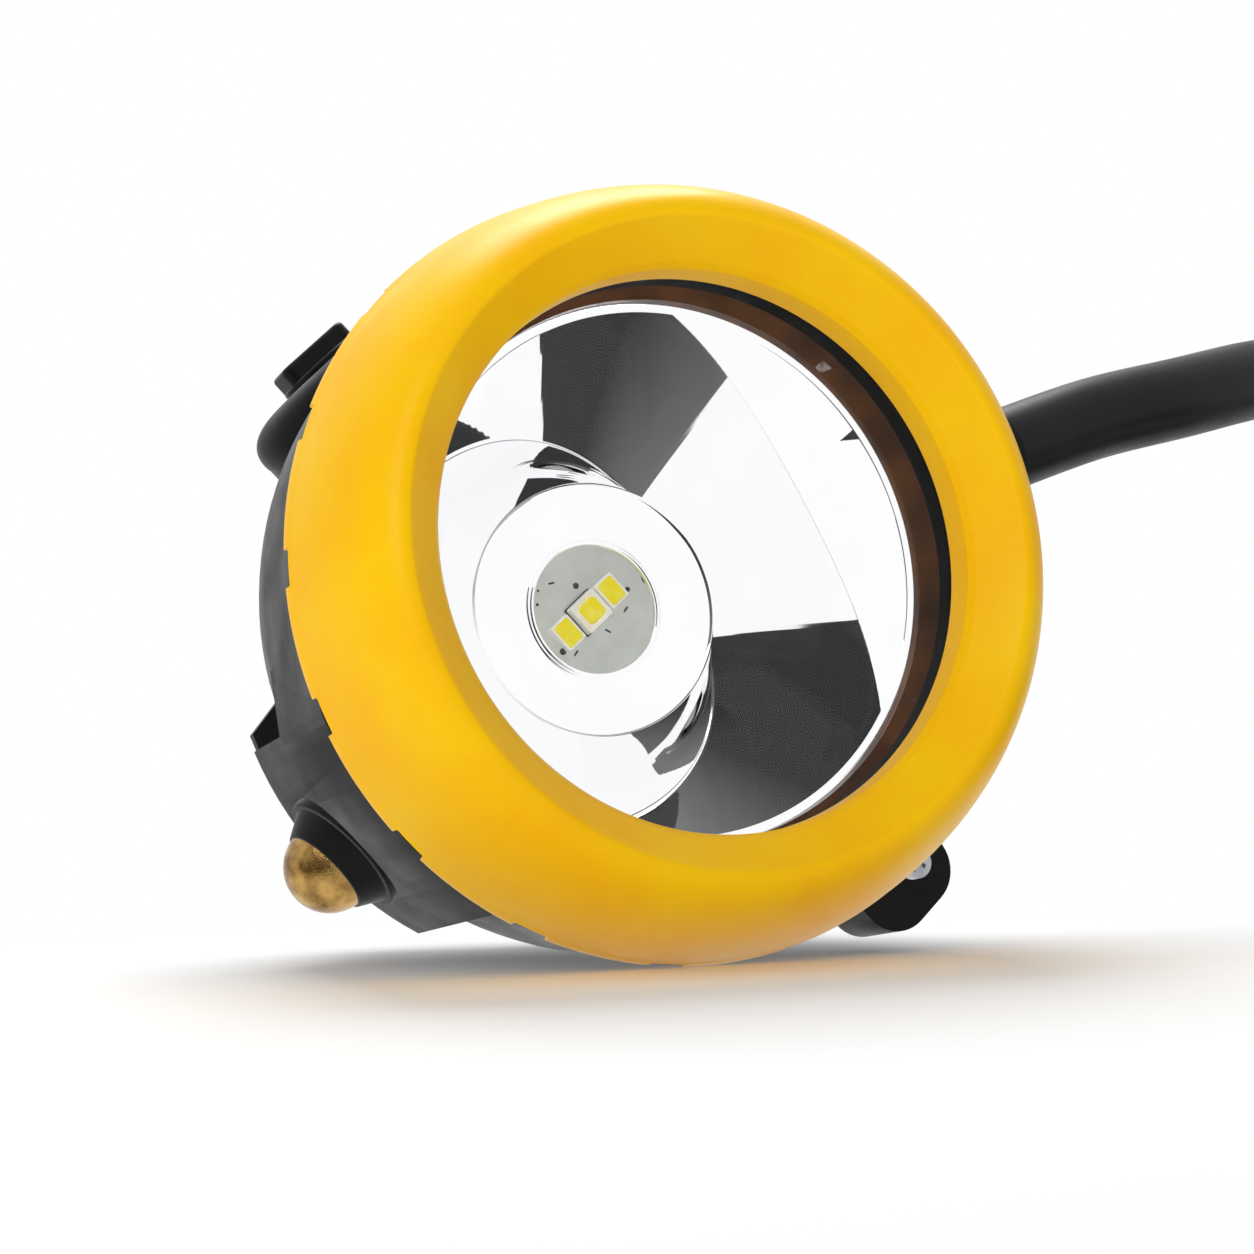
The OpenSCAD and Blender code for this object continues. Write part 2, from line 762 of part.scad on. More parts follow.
module switch_rotor() {
  color("#2b2b2d")
    lay()
      radial(switch_turn, switch_z) ring(shaft_r, rotor_r, rotor_z, rotor_z + rotor_l);
}

module rotor_bridge() {
  color("#c9a24a")
    lay()
      radial(switch_turn, switch_z)
        intersection() {
          rod(rotor_r, rotor_z - bridge_t, rotor_z);
          translate([-rotor_r, -1.2, rotor_z - bridge_t]) cube([2 * rotor_r, 2.4, bridge_t]);
        }
}

module switch_bush() {
  color("#c49a3c")
    lay()
      radial(switch_turn, switch_z) ring(shaft_r + shaft_gap, bush_r, inner_at(switch_z) - 1.2, boss_top - 1.6);
}

module shaft_seal() {
  color("#101010")
    lay()
      radial(switch_turn, switch_z) ring(shaft_r + shaft_gap, bush_r, boss_top - 1.6, boss_top - 0.1);
}

module switch_base() {
  low = switch_z - floor_z;
  color("#6b2f1c")
    lay()
      radial(switch_turn, switch_z)
        translate([-3.2, -4.5, base_z]) cube([3.2 + low, 9, base_t]);
}

module switch_contacts() {
  color("#c9a24a")
    lay()
      radial(switch_turn, switch_z)
        for (s = [-1, 1])
          translate([s * (rotor_r - 1.1), 0, 0]) rod(0.7, base_z + base_t, base_z + base_t + contact_h, 24);
}

// Charging stud ---------------------------------------------------------

cone_top = pad_r + cone_h;
dome_sink = 0.8;
washer_z = tag_flat - 1;
tag_z = washer_z - 0.4;
tag_l = 6;
nut_z = tag_z - 2.4;

module charge_stud() {
  color("#b8893a")
    lay()
      radial(-90, -stud_z) {
        intersection() {
          translate([0, 0, cone_top - dome_sink]) sphere(r = dome_r, $fn = 96);
          rod(dome_r + 1, cone_top, cone_top + dome_r + 1);
        }
        rod(shank_r, nut_z - 0.8, cone_top + 1);
      }
}

module stud_collar() {
  color("#161616")
    lay()
      radial(-90, -stud_z)
        rotate_extrude()
          polygon([[shank_r, tag_flat], [spigot_r, tag_flat], [spigot_r, pad_r - 0.8],
                   [cone_d / 2, pad_r - 0.8], [cone_d / 2, pad_r + 0.2],
                   [cone_d / 2 - 0.7, pad_r + 0.2],
                   [cone_top_d / 2, cone_top], [shank_r, cone_top]]);
}

module stud_washer() {
  color("#8b2b1e") lay() radial(-90, -stud_z) ring(shank_r, 5, washer_z, tag_flat);
}

module stud_tag() {
  color("#c8cacc")
    lay()
      radial(-90, -stud_z)
        difference() {
          union() {
            rod(4, tag_z, washer_z);
            translate([0, -1.2, tag_z]) cube([tag_l, 2.4, washer_z - tag_z]);
          }
          rod(shank_r, tag_z - 1, washer_z + 1);
        }
}

module stud_nut() {
  color("#c49a3c")
    lay()
      radial(-90, -stud_z)
        difference() {
          translate([0, 0, nut_z]) cylinder(r = 4.04, h = tag_z - nut_z, $fn = 6);
          rod(shank_r, nut_z - 1, tag_z + 1);
        }
}

module key_contact() {
  color("#c9a24a")
    lay()
      rotate([0, 0, pad_from + 4])
        rotate_extrude(angle = 10, $fn = 192)
          polygon([[pad_r - 3, -pad_back + 3], [pad_r - 2.5, -pad_back + 3],
                   [pad_r - 2.5, -pad_back + 7.6], [pad_r - 3, -pad_back + 7.6]]);
}

// Lock screw ------------------------------------------------------------

module lock_screw() {
  top = -0.3;
  low = -shoulder_gap;
  color("#c3c6c9")
    lay()
      translate([lock_at[0], lock_at[1], 0])
        difference() {
          union() {
            rod(lock_head_d / 2, low, top, 48);
            rod(0.95, low - 5.5, low, 32);
          }
          for (a = [0, 90])
            rotate([0, 0, a + 20])
              translate([-lock_head_d * 0.32, -0.22, top - 0.5]) cube([lock_head_d * 0.64, 0.44, 1]);
        }
}

module lock_insert() {
  color("#c49a3c")
    lay()
      translate([lock_at[0], lock_at[1], 0]) ring(1, insert_r, -shoulder_gap - 6, -shoulder_gap - 1);
}

// Helmet hook -----------------------------------------------------------

// Side view of the hook: u away from the cable, w behind the back.
function hook_side() = [
  [-15, 0], [5, 0], [9, hook_gap], [9 + tongue_l, hook_gap], [9 + tongue_l, hook_gap + hook_t],
  [8.5, hook_gap + hook_t], [4.5, hook_t], [-15, hook_t]
];

module helmet_hook() {
  color("#b4b7ba")
    lay()
      difference() {
        rotate([0, 0, cable_turn])
          translate([0, hook_w / 2, back_z])
            rotate([90, 0, 0])
              linear_extrude(height = hook_w)
                polygon([for (p = hook_side()) [-p[0], -p[1]]]);
        rotate([0, 0, cable_turn])
          for (u = hook_holes)
            translate([u, 0, 0]) rod(1.6, back_z - 4, back_z + 1, 24);
      }
}

module hook_screws() {
  color("#9fa3a8")
    lay()
      rotate([0, 0, cable_turn])
        for (u = hook_holes)
          translate([u, 0, 0]) {
            rod(2.75, back_z - hook_t - 1.6, back_z - hook_t, 32);
            rod(1.25, back_z - hook_t, floor_z + 1, 24);
          }
}

// Cable gland -----------------------------------------------------------

gland_top = inlet_top + gland_l;
relief_top = gland_top + relief_l;
cable_r = cable_d / 2;
seal_low = shell_r - 3;
anchor_r = cable_r + 1.1;
anchor_top = inner_at(-cable_z - anchor_r) - 0.1;
cable_in = anchor_top - 1.8;

module gland_nut() {
  color("#191919")
    lay()
      radial(cable_turn, -cable_z)
        difference() {
          union() {
            rod(gland_r, seal_low + 3, inlet_top);
            translate([0, 0, inlet_top]) cylinder(r = inlet_d / 2 - 0.8, h = gland_l, $fn = 12);
          }
          rod(cable_r + 1.6, seal_low, gland_top + 1);
        }
}

module gland_seal() {
  color("#0f0f0f")
    lay()
      radial(cable_turn, -cable_z) ring(cable_r, gland_r, seal_low, seal_low + 3);
}

module strain_relief() {
  color("#121212")
    lay()
      radial(cable_turn, -cable_z)
        rotate_extrude()
          polygon([[cable_r, seal_low + 3], [cable_r + 1.5, seal_low + 3], [cable_r + 1.5, gland_top],
                   [cable_r + 0.25, relief_top], [cable_r, relief_top]]);
}

module cable_inlet() {
  color("#161616")
    lay()
      radial(cable_turn, -cable_z) rod(cable_r, cable_in, relief_top);
}

module cable_ring() {
  color("#a9adb2")
    lay()
      radial(cable_turn, -cable_z) ring(cable_r, anchor_r, anchor_top - 1.4, anchor_top);
}

// Leads inside the shell ------------------------------------------------

core_r = core_d / 2;

// A point given by its angle, its radius and its height.
function polar(turn, r, z) = [r * cos(turn), r * sin(turn), z];

// One core from the cable's end round the heat sink to the driver board.
function core_route(side) = let (
    t = [-sin(cable_turn), cos(cable_turn), 0] * side * 1.5,
    past_r = sink_r + 0.28 * sink_room,
    pad = [driver_mid[0] + 1 - 2 * side, driver_mid[1] + driver_w / 2 - 1.5, driver_top]
  ) [
  polar(cable_turn, cable_in, -cable_z) + t,
  polar(cable_turn, cable_in - 1, -cable_z) + t,
  polar(cable_turn, past_r, -cable_z - 3.5) + t,
  polar(cable_turn, past_r - 0.4, sink_z - 1.2) + t,
  pad + [0, 3, 2.2],
  pad + [0, 0, 1.8],
  pad
];

module core_red() {
  color("#b3261e") lay() wire(core_route(1), core_r, [-sin(cable_turn), cos(cable_turn), 0]);
}

module core_black() {
  color("#17171a") lay() wire(core_route(-1), core_r, [-sin(cable_turn), cos(cable_turn), 0]);
}

module light_leads() {
  color("#c8372c")
    lay()
      for (a = lead_turns)
        wire([polar(a, lead_r, driver_top), polar(a, lead_r, sink_z), polar(a, lead_r, board_z),
              polar(a, lead_r - 0.4, light_z), polar(a, lead_r - 1.4, light_z + 0.42),
              polar(a, board_d / 2 - 1.3, light_z + 0.42)], 0.4, polar(a + 90, 1, 0));
}

module stud_lead() {
  start = [0, -tag_z, -stud_z - tag_l + 1];
  aside = 0.33 * driver_w;
  pad = [driver_mid[0] + 1, driver_mid[1] - driver_w / 2 + 1.4, driver_top];
  color("#2a4fa0")
    lay()
      wire([start, start + [0, 1.5, 0], start + [aside, aside, -1.5], pad + [0, 0, 1.6], pad], 0.6, [1, 0, 0]);
}

module switch_leads() {
  color("#2a4fa0")
    lay()
      for (s = [-1, 1])
        wire([polar(switch_turn, base_z, switch_z - 1) + polar(switch_turn + 90, 2 * s, 0),
              polar(switch_turn, base_z - 2, switch_z - 1) + polar(switch_turn + 90, 2 * s, 0),
              [driver_mid[0] - driver_l / 2 + 0.4, driver_mid[1] - 2 * s, driver_top + 2.2],
              [driver_mid[0] - driver_l / 2 + 1.2, driver_mid[1] - 2 * s, driver_top + 1.4],
              [driver_mid[0] - driver_l / 2 + 1.2, driver_mid[1] - 2 * s, driver_top]], 0.5, [0, 1, 0]);
}

// Free cable ------------------------------------------------------------

// Where the cable leaves the strain relief, and its direction there.
function laid(p) = let (
    a = [p[0] * cos(rest_roll) - p[1] * sin(rest_roll), p[0] * sin(rest_roll) + p[1] * cos(rest_roll), p[2]],
    b = [a[0], -a[2], a[1]]
  ) [stand_x + b[0], stand_y + b[1] * cos(rest_tilt) + b[2] * sin(rest_tilt),
     bezel_r * cos(rest_tilt) - b[1] * sin(rest_tilt) + b[2] * cos(rest_tilt)];
cable_exit = laid(polar(cable_turn, relief_top, -cable_z));
cable_way = laid(polar(cable_turn, relief_top + 1, -cable_z)) - cable_exit;

// The coil: centre, clockwise from above, two layers, top layer first.
coil_mid = [124, -44, 0];
coil_r = 57;
coil_pitch = 10.1;
coil_turns = 4;
coil_rings = 24;
coil_low = cable_r;
coil_rise = 10;

// Radius and height of the coil's centre line after s turns.
coil_half = coil_turns / 2;
function coil_in(s) = let (u = min(s, coil_turns - s)) u < coil_half - 0.25
  ? coil_r - coil_pitch * u
  : coil_r - coil_pitch * (coil_half - 0.125 - 2 * pow(coil_half - u, 2));
function coil_up(s) = let (u = max(0, min(1, (s - coil_half + 0.25) / 0.5)))
  coil_low + coil_rise * (1 - u * u * (3 - 2 * u));
function coil_at(s) = coil_mid + [coil_in(s) * cos(360 * s), -coil_in(s) * sin(360 * s), coil_up(s)];
coil_start = coil_at(0) + [0, cable_d, 0];
coil_end = coil_at(coil_turns) - [0, cable_d, 0];
coil_points = concat([coil_start], [for (i = [0:coil_turns * coil_rings]) coil_at(i / coil_rings)], [coil_end]);

// Least gap between the coil and itself, on its own points.
coil_gap = min([for (i = [0:len(coil_points) - 1]) for (j = [i + 8:1:len(coil_points) - 1])
  norm(coil_points[i] - coil_points[j])]) - cable_d;
echo(coil_gap = coil_gap);

// The free stretch between the strain relief and the coil, by hand, in the part's own frame.
cable_points = [
  [55.5, 7.5, 57.5],
  [68, 8, 60.5],
  [80.5, 10.5, 63.5],
  [93, 14.5, 65.5],
  [105.5, 18, 64.5],
  [117.5, 22, 60.5],
  [128.5, 24.5, 54.5],
  [139.5, 26, 47],
  [150, 25, 39.5],
  [159.5, 20.5, 32],
  [168, 13, 25],
  [175, 3, 20],
  [179, -8.5, 16],
  [181, -21.5, 14.5]
];

module cable() {
  path = smooth(concat([cable_exit], cable_points, [coil_start]), 2);
  color("#131313") tube(path, cable_r, 10, cable_way, [0, -1, 0]);
}

module cable_coil() {
  color("#131313") tube(coil_points, cable_r, 6, [0, -1, 0], [0, -1, 0]);
}

// Battery end -----------------------------------------------------------

bush_l = 2.35 * cable_d;
bush_rib = 0.55 * bush_l;
core_out = cable_d;
bush_end = coil_end - [0, bush_l, 0];
lug_y = bush_end[1] - core_out - 9;
lug_side = ring_lug_d / 2 + 0.6;

// Turns local +Z to -Y at a point.
module onward(p) {
  translate(p) rotate([90, 0, 0]) children();
}

module battery_bush() {
  groove = cable_r - 0.6;
  color("#141414")
    onward(coil_end)
      rotate_extrude()
        polygon([[0, 0], [cable_r - 0.3, 0], [cable_r, 1], [cable_r, bush_rib], [groove, bush_rib],
                 [groove, bush_rib + 3], [cable_r, bush_rib + 3], [cable_r, bush_l - 1], [cable_r - 1, bush_l],
                 [0, bush_l]]);
}

// One core from the bush to its ring lug.
function end_route(side) = [
  bush_end + [side * 1.5, 0, 0],
  bush_end + [side * 1.5, -1, 0],
  bush_end + [side * 2, -4.5, -1.2],
  [bush_end[0] + side * lug_side, bush_end[1] - core_out, core_r + 0.1],
  [bush_end[0] + side * lug_side, bush_end[1] - core_out - 2, core_r + 0.1]
];

module end_core_red() {
  color("#b3261e") wire(end_route(-1), core_r, [1, 0, 0]);
}

module end_core_black() {
  color("#17171a") wire(end_route(1), core_r, [1, 0, 0]);
}

module ring_lugs() {
  color("#c8cacc")
    for (s = [-1, 1])
      translate([bush_end[0] + s * lug_side, lug_y, 0]) {
        difference() {
          union() {
            rod(ring_lug_d / 2, 0, ring_lug_t);
            translate([-1.3, 0, 0]) cube([2.6, 7, ring_lug_t]);
          }
          rod(lug_hole_d / 2, -1, ring_lug_t + 1);
        }
      }
}

bezel();
slip_ring();
lens_gasket();
lens();
spacer_ring();
rim_seal();
reflector();
light_board();
main_light();
main_emitter();
side_lights();
side_emitters();
board_screws();
heat_sink();
sink_screws();
shell();
driver_board();
driver_parts();
driver_screws();
switch_knob();
switch_shaft();
switch_clip();
switch_rotor();
rotor_bridge();
switch_bush();
shaft_seal();
switch_base();
switch_contacts();
charge_stud();
stud_collar();
stud_washer();
stud_tag();
stud_nut();
key_contact();
lock_screw();
lock_insert();
helmet_hook();
hook_screws();
gland_nut();
gland_seal();
strain_relief();
cable_inlet();
cable_ring();
core_red();
core_black();
light_leads();
stud_lead();
switch_leads();
cable();
cable_coil();
battery_bush();
end_core_red();
end_core_black();
ring_lugs();
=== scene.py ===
"""Miner's cap lamp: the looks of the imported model.

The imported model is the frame. It gives every node its place, and this script gives each one its
finish, or a finer piece in its stead.

The stage is in row metres. The surfaces are in millimetres in the lamp's own frame, with +Z along
the light and the front ring's rear rim at z = 0, and LAY takes them to row metres. Settings are in
metres and radians, as Blender shows them, and sizes() gives their lengths in millimetres.
"""

import json
import math
from types import SimpleNamespace

import bmesh
import bpy
import numpy as np
from mathutils import Matrix


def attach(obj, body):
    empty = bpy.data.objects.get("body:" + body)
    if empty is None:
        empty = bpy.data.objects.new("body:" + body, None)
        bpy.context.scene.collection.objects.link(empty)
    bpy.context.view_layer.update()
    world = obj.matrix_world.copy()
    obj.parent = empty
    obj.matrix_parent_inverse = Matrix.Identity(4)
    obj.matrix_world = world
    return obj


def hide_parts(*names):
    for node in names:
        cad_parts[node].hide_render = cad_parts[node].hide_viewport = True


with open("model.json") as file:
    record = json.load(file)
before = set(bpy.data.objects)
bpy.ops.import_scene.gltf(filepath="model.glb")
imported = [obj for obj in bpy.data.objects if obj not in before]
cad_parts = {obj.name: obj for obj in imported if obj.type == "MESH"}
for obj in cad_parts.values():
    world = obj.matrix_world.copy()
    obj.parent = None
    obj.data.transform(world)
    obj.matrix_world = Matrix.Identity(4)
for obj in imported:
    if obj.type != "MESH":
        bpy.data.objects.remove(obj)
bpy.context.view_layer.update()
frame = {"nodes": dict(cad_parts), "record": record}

bl_info = {
    "name": "Cap lamp",
    "version": (1, 0, 0),
    "blender": (4, 5, 0),
    "location": "View3D > Sidebar > Cap lamp",
    "description": "Builds a miner's cap lamp on its packed frame",
    "category": "Object",
}

MM = 0.001
TAU = 2 * math.pi

# How the lamp lies: the same values as in the part's source.
REST_ROLL = math.radians(-48.7)
REST_TILT = math.radians(7.66977)
STAND = (-6.0, -11.5)
RIM_R = 38.3

LAY = (
    Matrix.Scale(MM, 4)
    @ Matrix.Translation((*STAND, RIM_R * math.cos(REST_TILT)))
    @ Matrix.Rotation(-REST_TILT, 4, "X")
    @ Matrix.Rotation(TAU / 4, 4, "X")
    @ Matrix.Rotation(REST_ROLL, 4, "Z")
)
ROW = Matrix.Scale(MM, 4)


def radial(turn, height):
    """Local +Z outwards from the light axis at an angle and a height, and local +X towards -Z."""
    return (
        Matrix.Rotation(turn, 4, "Z")
        @ Matrix.Translation((0, 0, height))
        @ Matrix.Rotation(TAU / 4, 4, "Y")
    )


# Forms ---------------------------------------------------------------------


class Form:
    """A mesh under construction: points in millimetres, and faces as rows of point numbers."""

    def __init__(self, points=(), faces=()):
        self.points = np.asarray(points, float).reshape(-1, 3)
        self.faces = list(faces)

    def __add__(self, other):
        """Both forms as one, the second's points counted on from the first's."""
        start = len(self.points)
        counted_on = [[i + start for i in face] for face in other.faces]
        return Form(np.vstack([self.points, other.points]), self.faces + counted_on)

    def moved(self, matrix):
        """The form turned and shifted by a matrix."""
        m = np.array(matrix)
        return Form(self.points @ m[:3, :3].T + m[:3, 3], self.faces)


def grid(rings, around=True, along=False, caps=False):
    """Quads between rings of equal length: each joins points k and k + 1 of rings i and i + 1.

    The surface is closed around each ring, closed along the rings, or capped at its two ends.
    """
    rings = np.asarray(rings, float)
    m, n = rings.shape[:2]
    i = np.arange(m if along else m - 1)[:, None]
    k = np.arange(n if around else n - 1)
    here, ahead, beside = i * n, (i + 1) % m * n, (k + 1) % n
    quads = np.stack([here + k, here + beside, ahead + beside, ahead + k], -1)
    faces = quads.reshape(-1, 4).tolist()
    if caps:
        last = (m - 1) * n
        faces += [list(range(n))[::-1], list(range(last, last + n))]
    return Form(rings.reshape(-1, 3), faces)


def lathe(profile, steps=192, closed=True):
    """A profile of (radius, height) points turned about Z: x = r cos a, y = r sin a, z = h."""
    r, h = np.asarray(profile, float).T
    a = np.arange(steps) * TAU / steps
    x, y, z = np.outer(r, np.cos(a)), np.outer(r, np.sin(a)), np.outer(h, np.ones(steps))
    return grid(np.stack([x, y, z], -1), along=closed)


# A corner stays where half its angle is above FLATTEST, and a rounding takes no more than
# MOST_OF_EDGE of the edge on each side of it.
FLATTEST = math.radians(88)
MOST_OF_EDGE = 0.4


def soften(rows, steps=4, closed=True):
    """A polyline of (x, y, rounding) rows, with each corner rounded by the radius given for it.

    The rounding from a to b is (1-t)^2 a + 2t(1-t) corner + t^2 b. Both lie at the radius over the
    tangent of half the corner's angle from the corner.
    """
    rows = np.asarray(rows, float)
    p, radii = rows[:, :2], rows[:, 2]
    n = len(p)
    t = (np.arange(steps + 1) / steps)[:, None]
    out = []
    for i in range(n):
        if radii[i] <= 0 or (not closed and i in (0, n - 1)):
            out.append(p[i])
            continue
        before, after = p[i - 1] - p[i], p[(i + 1) % n] - p[i]
        la, lb = np.linalg.norm(before), np.linalg.norm(after)
        u, v = before / la, after / lb
        half = math.acos(np.clip(u @ v, -1, 1)) / 2
        if half > FLATTEST:
            out.append(p[i])
            continue
        reach = min(radii[i] / math.tan(half), MOST_OF_EDGE * la, MOST_OF_EDGE * lb)
        a, b = p[i] + u * reach, p[i] + v * reach
        out.extend((1 - t) ** 2 * a + 2 * t * (1 - t) * p[i] + t * t * b)
    return np.array(out)


def bezier(p, steps):
    """A cubic Bezier curve: its corners weighed by (1-t)^3, 3t(1-t)^2, 3t^2(1-t) and t^3."""
    t = np.linspace(0, 1, steps + 1)[:, None]
    a, b, c, d = np.asarray(p, float)
    return (1 - t) ** 3 * a + 3 * t * (1 - t) ** 2 * b + 3 * t * t * (1 - t) * c + t**3 * d


def level(outline, z):
    """An outline's points at a height."""
    return np.c_[outline, np.full(len(outline), z)]


def circle(r, steps):
    """A closed outline: x = r cos a, y = r sin a."""
    a = np.arange(steps) * TAU / steps
    return r * np.c_[np.cos(a), np.sin(a)]


def rounded_box(length, width, corner, steps=64):
    """A closed outline: a quarter circle of the corner's radius in each of four corners."""
    x, y = length / 2 - corner, width / 2 - corner
    quarter = np.linspace(0, TAU / 4, steps // 4)
    out = []
    for k, (sx, sy) in enumerate([(1, 1), (-1, 1), (-1, -1), (1, -1)]):
        a = quarter + k * TAU / 4
        out.append(np.c_[sx * x + corner * np.cos(a), sy * y + corner * np.sin(a)])
    return np.vstack(out)


def dot(r, low, high, edge, steps=3, sides=24):
    """A flat round dot: its edges are inset by e(1 - sin a), at e(1 - cos a) from each end."""
    turns = [k / steps * TAU / 4 for k in range(steps + 1)]
    rise = [(edge * (1 - math.sin(a)), edge * (1 - math.cos(a))) for a in turns]
    rows = [(inset, low + e) for inset, e in rise]
    rows += [(inset, high - e) for inset, e in reversed(rise)]
    return grid([level(circle(r - inset, sides), z) for inset, z in rows], caps=True)


# The tightest corner of a block, and how a dish bends down from its rim: inwards and downwards.
TIGHTEST = 0.1
DISH_BEND, DISH_DROP = 0.15, 0.08


def block(length, width, corner, low, high, edge, dish=0.0, rim=0.0, steps=4):
    """A rounded box drawn upwards, with its top edge inset by e(1 - cos a) at a rise of e sin a.

    Its top is flat, or falls by the depth of a dish inside a rim of that width.
    """
    rows = [(0, low)]
    for a in np.linspace(0, TAU / 4, steps + 1):
        rows.append((edge * (1 - math.cos(a)), high - edge + edge * math.sin(a)))
    if dish:
        rows += [
            (rim, high),
            (rim + DISH_BEND, high - DISH_DROP),
            (rim + 2 * DISH_BEND, high - dish),
        ]
    rings = []
    for inset, z in rows:
        flat = rounded_box(length - 2 * inset, width - 2 * inset, max(corner - inset, TIGHTEST))
        rings.append(level(flat, z))
    return grid(rings, caps=True)


def unit(v):
    """A vector's direction."""
    return v / np.linalg.norm(v)


def tube(path, r, sides=24):
    """A round section carried along a path without twist: p = path + r (side cos a + up sin a).

    Each ring's side is the last one's, squared to the way. The path doesn't start straight up.
    """
    ways = np.gradient(path, axis=0)
    ways /= np.linalg.norm(ways, axis=1)[:, None]
    side = unit(np.cross(ways[0], (0.0, 0.0, 1.0)))
    a = np.arange(sides) * TAU / sides
    rings = []
    for point, way in zip(path, ways):
        side = unit(side - way * (side @ way))
        up = np.cross(way, side)
        rings.append(point + r * (np.outer(np.cos(a), side) + np.outer(np.sin(a), up)))
    return grid(rings, caps=True)


def smooth(points, steps):
    """A Catmull-Rom curve: it leaves each point along the line between that point's neighbours."""
    p = np.asarray(points, float)
    before, after = np.vstack([p[:1], p[:-2]]), np.vstack([p[2:], p[-1:]])
    a, b, c, d = (q[:, None, :] for q in (before, p[:-1], p[1:], after))
    t = (np.arange(steps) / steps)[None, :, None]
    first, second, third = c - a, 2 * a - 5 * b + 4 * c - d, 3 * b - a - 3 * c + d
    curve = 0.5 * (2 * b + first * t + second * t**2 + third * t**3)
    return np.vstack([curve.reshape(-1, 3), p[-1:]])


# Materials -----------------------------------------------------------------

# Each finish: its colour, and a second colour that clouds it.
TONES = {
    "bezel_yellow": ((0.99, 0.58, 0.0), (0.98, 0.51, 0.0)),
    "housing_black": ((0.0045, 0.0045, 0.0047), (0.0085, 0.0085, 0.0090)),
    "seal_rubber": ((0.004, 0.004, 0.004), (0.008, 0.008, 0.008)),
    "cable_rubber": ((0.0045, 0.0045, 0.0048), (0.0080, 0.0080, 0.0085)),
    "slip_plastic": ((0.008, 0.008, 0.008), (0.014, 0.014, 0.014)),
    "amber_plastic": ((0.12, 0.040, 0.005), (0.035, 0.011, 0.002)),
    "board_white": ((0.66, 0.69, 0.655), (0.58, 0.61, 0.575)),
    "light_white": ((0.96, 0.955, 0.90), (0.90, 0.895, 0.84)),
    "light_yellow": ((1.0, 0.83, 0.01), (1.0, 0.93, 0.10)),
    "zinc_steel": ((0.55, 0.56, 0.58), (0.36, 0.37, 0.39)),
    "sink_aluminium": ((0.52, 0.53, 0.55), (0.44, 0.45, 0.47)),
    "hook_steel": ((0.34, 0.345, 0.35), (0.25, 0.255, 0.26)),
    "board_green": ((0.012, 0.12, 0.035), (0.01, 0.09, 0.03)),
    "parts_dark": ((0.012, 0.012, 0.015), (0.025, 0.025, 0.03)),
    "rotor_plastic": ((0.012, 0.012, 0.013), (0.02, 0.02, 0.022)),
    # brass: its dark clouds are tarnish and also painted reflection, the light and dark that the
    # even white surroundings don't mirror in the metal.
    "brass": ((0.56, 0.34, 0.105), (0.13, 0.062, 0.017)),
    "fibre_red": ((0.16, 0.035, 0.018), (0.11, 0.025, 0.014)),
    "tinned": ((0.62, 0.63, 0.64), (0.5, 0.51, 0.52)),
    "core_red": ((0.32, 0.015, 0.01), (0.25, 0.012, 0.01)),
    "core_black": ((0.006, 0.006, 0.007), (0.012, 0.012, 0.013)),
    "lead_red": ((0.38, 0.02, 0.012), (0.3, 0.016, 0.012)),
    "lead_blue": ((0.012, 0.05, 0.25), (0.012, 0.04, 0.2)),
    "mirror": ((0.99, 0.99, 0.995), (0.97, 0.972, 0.98)),
    "lens_clear": ((0.95, 0.97, 0.98), (0.93, 0.96, 0.97)),
}

# Each finish: roughness from and to, metal, size of its clouds and of its grain in millimetres, and
# height of the grain.
SURFACES = {
    "bezel_yellow": (0.32, 0.42, 0, 9, 0.22, 0.05),
    "housing_black": (0.30, 0.46, 0, 6, 0.25, 0.12),
    "seal_rubber": (0.55, 0.75, 0, 4, 0.3, 0.2),
    "cable_rubber": (0.32, 0.48, 0, 7, 0.3, 0.14),
    "slip_plastic": (0.35, 0.5, 0, 5, 0.4, 0.1),
    "amber_plastic": (0.12, 0.25, 0, 6, 0.5, 0.05),
    "board_white": (0.35, 0.55, 0, 3, 0.12, 0.1),
    "light_white": (0.35, 0.5, 0, 1, 0.1, 0.05),
    "light_yellow": (0.3, 0.5, 0, 1.2, 0.08, 0.1),
    "zinc_steel": (0.22, 0.42, 1, 2, 0.1, 0.15),
    "sink_aluminium": (0.3, 0.5, 1, 5, 0.15, 0.2),
    "hook_steel": (0.25, 0.4, 1, 8, 0.12, 0.2),
    "board_green": (0.3, 0.45, 0, 4, 0.2, 0.05),
    "parts_dark": (0.3, 0.5, 0, 3, 0.2, 0.1),
    "rotor_plastic": (0.4, 0.55, 0, 3, 0.3, 0.1),
    "brass": (0.12, 0.30, 1, 2.2, 0.2, 0.6),
    "fibre_red": (0.6, 0.8, 0, 3, 0.2, 0.3),
    "tinned": (0.2, 0.35, 1, 3, 0.15, 0.1),
    "core_red": (0.35, 0.5, 0, 3, 0.3, 0.08),
    "core_black": (0.35, 0.5, 0, 3, 0.3, 0.08),
    "lead_red": (0.3, 0.45, 0, 3, 0.3, 0.05),
    "lead_blue": (0.3, 0.45, 0, 3, 0.3, 0.05),
    "mirror": (0.01, 0.02, 1, 12, 4.0, 0.0),
    "lens_clear": (0.01, 0.02, 1, 20, 5.0, 0.0),
}

# The shader's own sockets, where a finish changes them.
DULL = {"Specular IOR Level": 0.10}
SOCKETS = {
    "bezel_yellow": {"Specular IOR Level": 0.12},
    "housing_black": DULL,
    "seal_rubber": DULL,
    "cable_rubber": {"Specular IOR Level": 0.20},
    "slip_plastic": DULL,
    "amber_plastic": DULL,
    "board_white": DULL,
    "light_yellow": DULL,
    "lens_clear": {"Alpha": 0.008},
}

